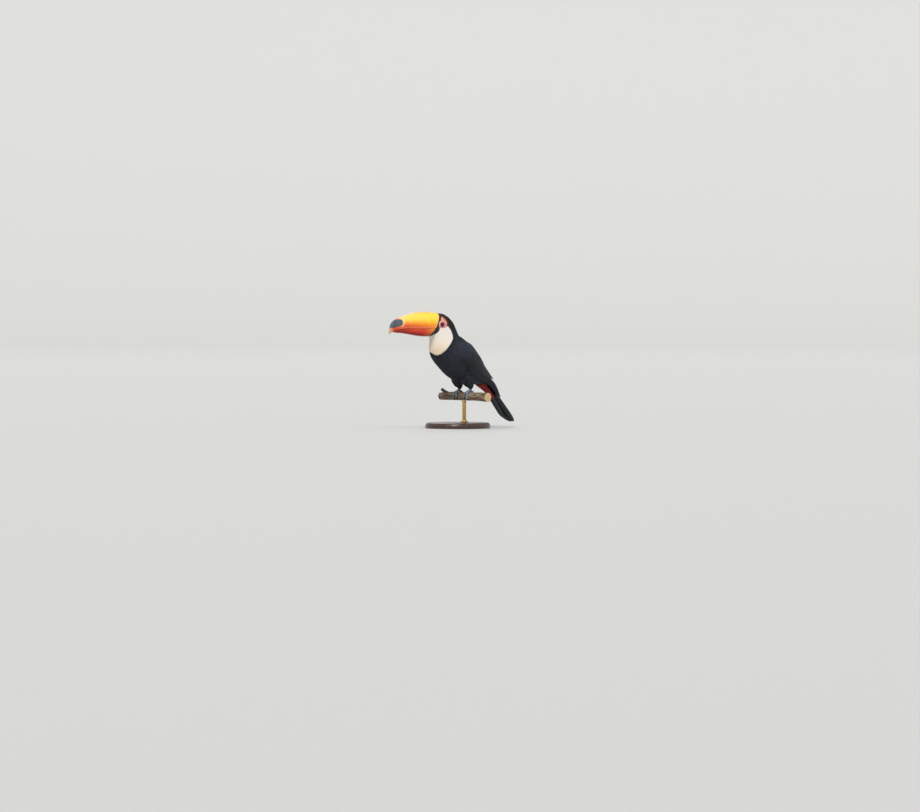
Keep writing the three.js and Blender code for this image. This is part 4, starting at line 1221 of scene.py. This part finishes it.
for name, side in SIDES.items():
    y = side * FOOT_SPREAD
    feet, claws = Pile(), Pile()
    f = np.linspace(0, 1, 110)
    path = row_at([[0, 0.2, y, 105], [0.35, 1.5, y, 111], [1, 4.6, y + side * 0.6, 126]], f)
    radius = np.interp(f, [0, 0.2, 1], [4.5, SHANK_RADIUS, 3.8])
    front = np.tile([-1.0, 0, 0.1], (len(f), 1))
    rings, seam = scaled_tube(path, radius, length=21, scute=2.9, turns=36, up=front)
    feet.add(*closed_tube(rings), seam=seam)
    for turn_end, reach in TOES:
        f = np.linspace(0, 1, 100)
        radius = mix(TOE_RADIUS, 2.5, f) - 0.25 * (1 - np.cos(f * 6 * math.pi)) - 0.05
        path = on_perch(turn_end * f, y + side * reach * f, radius)
        path[0] += [0, 0, 0.01]
        length = math.radians(abs(turn_end)) * 15.5
        rings, seam = scaled_tube(path, radius, length, scute=2.1, turns=26, up=from_perch(path))
        feet.add(*closed_tube(rings), seam=seam)
        f = np.linspace(0, 1, 30)
        angle = turn_end + math.copysign(2.6, turn_end) + math.copysign(37, turn_end) * f
        radius = 2.05 * (1 - f) ** 0.75 + 0.22
        path = on_perch(angle, y + side * reach * (1 + 0.1 * f), radius, 0.25 + 0.54 * np.sin(f * math.pi))
        rings, _ = scaled_tube(path, radius, length=1, scute=1e6, turns=20, up=from_perch(path))
        claws.add(*closed_tube(rings), along=np.append(np.repeat(f, 20), [0, 1]))
    u, v = turned(0.01, math.pi - 0.01, 30, 40)
    sole = [6.6 * np.sin(u) * np.cos(v), y + 5.9 * np.sin(u) * np.sin(v), PERCH_TOP + 3.9 + 3.4 * np.cos(u)]
    feet.add(*closed_tube(np.stack(sole, -1)), seam=0.0)
    feet.object("foot_" + name, leg_paint.material, "leg_scales", ["leg_" + name])
    claws.object("claws_" + name, claw_paint.material, "claw", ["claw_%s_%d" % (name, i) for i in range(1, 5)])

# ---- perch and stand

paint = Paint("bark", Roughness=0.85)
bark_noise = paint.noise(70.0, 6.0, Scale=(1.0, 0.25, 1.0))
bark = paint.ramp(bark_noise, "0.28 4a3a2c 0.46 76614b 0.6 94806a 0.78 b3a591")
bark = paint.blend(paint.rises(paint.noise(34.0, 4.0), 0.6, 0.7, 0.6), bark, "a9ad95")  # lichen
year_rings = paint.math("MULTIPLY", paint.attribute("core"), 5.6)
year_rings = paint.math("SINE", paint.math("MULTIPLY_ADD", paint.noise(150.0), 7.0, year_rings))
cut = paint.blend(paint.rises(year_rings, -0.6, 1.0, 0.6), "d9bb8a", "a87d4c")
# furrow: the deepest grooves painted dark brown, partly darker bark, partly painted shade in the grooves
paint.set("Base Color", paint.marked(bark, furrow="2e231a", cut=cut))
paint.bump(paint.noise(180.0, 6.0, Scale=(1.0, 0.3, 1.0)), 0.5, 0.0008)


def bark_tube(stations, ends, rows, cols, seed, depth):
    """A length of branch with furrowed bark, and cut through at those of its ends that are 1."""
    path = row_at(numbered(stations), np.linspace(0, len(stations) - 1, rows))
    centre, radius = path[:, :3], path[:, 3:]
    along = unit(np.gradient(centre, axis=0))
    hint = np.array([0.3, 0.1, 1.0])
    across = unit(hint - along * (along @ hint)[:, None])
    travelled = np.concatenate([[0], np.cumsum(np.linalg.norm(np.diff(centre, axis=0), axis=1))])
    rough = np.array([
        [
            noise.fractal((3.1 * math.cos(turn), 3.1 * math.sin(turn), way * 0.055 + seed), 0.9, 2.1, 4)
            for turn in once_round(cols)
        ]
        for way in travelled
    ])
    # furrow marks the deepest grooves, which the bark sinks and which are painted dark: partly darker bark, partly
    # painted shade
    furrow = smooth(0.05, -0.45, rough)
    r = radius + depth * np.clip(rough, -1, 0.8) - 0.5 * furrow
    bark_rings = rings_round(centre, r, across, np.cross(along, across))
    rings, cores = [bark_rings], [np.repeat(radius, cols, 1)]
    shares = np.array([0.93, 0.8, 0.6, 0.4, 0.2, 0.03])[:, None]
    for end in np.flatnonzero(ends):  # rings over the cut go before the bark's at end 0, after them at end 1
        edge, middle = bark_rings[-end], centre[-end]
        caps = mix(middle, edge, shares[..., None]) + along[-end] * (0.25 if end else -0.25) * (1 - shares[..., None])
        core = shares * np.linalg.norm(edge - middle, axis=1)
        rings = [*rings, caps] if end else [caps[::-1], *rings]
        cores = [*cores, core] if end else [core[::-1], *cores]
    pads = ((len(shares) * ends[0], len(shares) * ends[1]), (0, 0))
    return (*closed_tube(np.concatenate(rings)), {
        "cut": np.append(np.pad(np.zeros(furrow.shape), pads, constant_values=1), ends),
        "core": np.concatenate(cores),
        "furrow": 0.7 * np.pad(furrow, pads),
    })


STRAIGHT_PART = 46
stations = []
for y in np.linspace(-PERCH_HALF_LENGTH, PERCH_HALF_LENGTH, 13):
    free = max(0, abs(y) - STRAIGHT_PART) / STRAIGHT_PART
    phase = 3 * y / PERCH_HALF_LENGTH
    stations.append([1.8 * free * math.sin(phase), y, PERCH_HEIGHT + 1.4 * free * math.cos(phase),
                     PERCH_RADIUS - 0.35 - 0.01 * y * free])
stub = [
    [x, y, PERCH_HEIGHT + rise, r]
    for x, y, rise, r in ((-1, 67, 2, 8), (-4, 68.5, 6, 6.4), (-9, 71, 10, 5.2), (-14, 75, 15, 4.5), (-18, 79, 20, 4.2))
]
branch = Pile()
for args in ((stations, (1, 1), 190, 88, 3.0, 0.5), (stub, (0, 1), 60, 48, 9.0, 0.3)):
    points, faces, marks = bark_tube(*args)
    branch.add(points, faces, **marks)
branch.object("perch_branch", paint.material, "bark", ["perch"])


def lathe(name, profile, centre_x, material, slot, replaced, cols):
    """A turned piece round a vertical axis; the profile is radius and height, its corners rounded a little."""
    corners = np.array(profile, float)
    outline = [corners[0]]
    f = np.linspace(0, 1, 6)[:, None]
    for before, at, after in zip(corners, corners[1:], corners[2:]):
        cut = min(0.8, np.linalg.norm(at - before) / 2.2, np.linalg.norm(after - at) / 2.2)
        a, b = at + unit(before - at) * cut, at + unit(after - at) * cut
        outline += [*((1 - f) ** 2 * a + 2 * f * (1 - f) * at + f * f * b)]
    outline = np.maximum([*outline, corners[-1]], [0.02, 0])
    solid(name, revolved(outline, cols, centre_x), material, slot, [replaced])


paint = Paint("base_wood", Roughness=0.36, Coat_Weight=0.35, Coat_Roughness=0.2)
grain = paint.node("TexWave", {
    "Vector": paint.place(Location=(0.31, 0.09, 0.05), Scale=(1.0, 0.12, 1.0), Rotation=(0.05, 0.02, 0.3)),
    "Scale": 24.0, "Distortion": 9.0, "Detail": 4.0, "Detail Scale": 2.0, "Detail Roughness": 0.6,
}, bands_direction="X")
pores = paint.noise(900.0, 3.0, 0.5, Scale=(1.0, 0.06, 1.0), Rotation=(0, 0, 0.3))
colour = paint.ramp(grain, "0 301b11 0.5 3b2317 1 4a2d1d")
paint.set("Base Color", paint.blend(paint.rises(pores, 0.58, 0.7, 0.6), colour, "1c0f09"))
paint.bump(pores, 0.12, 0.0002)
RIM, TOP = BASE_RADIUS, BASE_THICKNESS
lathe("base_disc", [
    [0, 0], [RIM - 2, 0], [RIM, 2], [RIM, 8.6], [RIM - 0.9, 9.2], [RIM - 0.9, 10.1], [RIM - 1.8, 12.4],
    [RIM - 4.2, 14.8], [RIM - 8, TOP], [RIM - 14, TOP], [RIM - 14.7, TOP - 0.5], [RIM - 15.4, TOP], [0, TOP],
], BASE_CENTRE_X, paint.material, "base", "stand_base", 192)

paint = Paint("brushed_brass", Metallic=1.0, Roughness=0.27)
brush = paint.noise(400.0, 4.0, Scale=(1.0, 1.0, 0.04))
paint.set("Base Color", paint.ramp(brush, "0.3 a8853f 0.5 c6a25a 0.75 d9bb78"))
paint.bump(brush, 0.12, 0.0001)
UNDERSIDE = PERCH_HEIGHT - PERCH_RADIUS
lathe("rod", [
    [0, TOP + 0.3], [11, TOP + 0.3], [11, TOP + 2.2], [10, TOP + 2.9], [8.5, TOP + 3.6], [7.4, TOP + 4.6],
    [7, TOP + 6.2], [ROD_RADIUS, TOP + 7], [ROD_RADIUS, UNDERSIDE - 5], [6.4, UNDERSIDE - 4.4],
    [6.4, UNDERSIDE - 1.6], [ROD_RADIUS, UNDERSIDE - 0.4], [0, UNDERSIDE - 0.3],
], 0, paint.material, "rod", "stand_rod", 64)

# ---- floor, light and camera

FLOOR_FLAT, FLOOR_BEND, WALL = 16.0, 6.0, 6.5  # metres: a level floor that bends up into a far round wall
curve = np.linspace(0, math.pi / 2, 24)
bend = np.stack([FLOOR_FLAT + FLOOR_BEND * np.sin(curve), FLOOR_BEND * (1 - np.cos(curve))], -1)
bowl = 1000 * revolved([[0.01, 0], [2, 0], [8, 0], *bend, [FLOOR_FLAT + FLOOR_BEND, WALL]], 96)
floor = add_mesh("floor", bowl.reshape(-1, 3) - [0, 0, 0.05], grid_faces(*bowl.shape[:2], wrap=True),
                 Paint("floor", Roughness=0.85, Base_Color=srgb("c4c4c2")).material, None)

world = bpy.data.worlds.new("studio")
bpy.context.scene.world = world
world.use_nodes = True
background = world.node_tree.nodes["Background"].inputs
background["Color"].default_value = (0.93, 0.96, 1.0, 1)
background["Strength"].default_value = 0.55


def in_scene(name, data, back):
    """An object of the scene that looks along its own -Z, away from back."""
    made = bpy.data.objects.new(name, data)
    made.rotation_euler = back.to_track_quat("Z", "Y").to_euler()
    bpy.context.scene.collection.objects.link(made)
    return made


def direction(azimuth, elevation):
    a, e = math.radians(azimuth), math.radians(elevation)
    return Vector((math.sin(a) * math.cos(e), -math.cos(a) * math.cos(e), math.sin(e)))


# Far lamps, each as wide as its spread in degrees, so that the whole floor is lit evenly.
for name, azimuth, elevation, spread, strength, colour in (
    ("key", -54, 46, 22, 2.0, (1, 0.97, 0.93)),
    ("fill", 25, 34, 50, 0.5, (0.95, 0.97, 1)),
    ("front", -80, 14, 50, 0.5, (1, 0.97, 0.93)),
    ("back", 150, 48, 35, 0.7, (0.97, 0.985, 1)),
):
    lamp = bpy.data.lights.new(name, "SUN")
    lamp.angle, lamp.energy, lamp.color = math.radians(spread), strength, colour
    in_scene(name, lamp, direction(azimuth, elevation))

MM_PER_PIXEL, DISTANCE, SENSOR, IMAGE_WIDTH = 2.83, 14.0, 36.0, 920
TARGET = Vector((-0.0156, 0, 0.0625))
lens = bpy.data.cameras.new("camera")
lens.sensor_width = SENSOR
lens.lens = SENSOR * DISTANCE / (IMAGE_WIDTH * MM_PER_PIXEL / 1000)
lens.clip_start, lens.clip_end = 0.5, 200
back = direction(-40, 1.5)
camera = in_scene("camera", lens, back)
camera.location = TARGET + back * DISTANCE
bpy.context.scene.camera = camera
bpy.context.scene.view_settings.view_transform = "Standard"
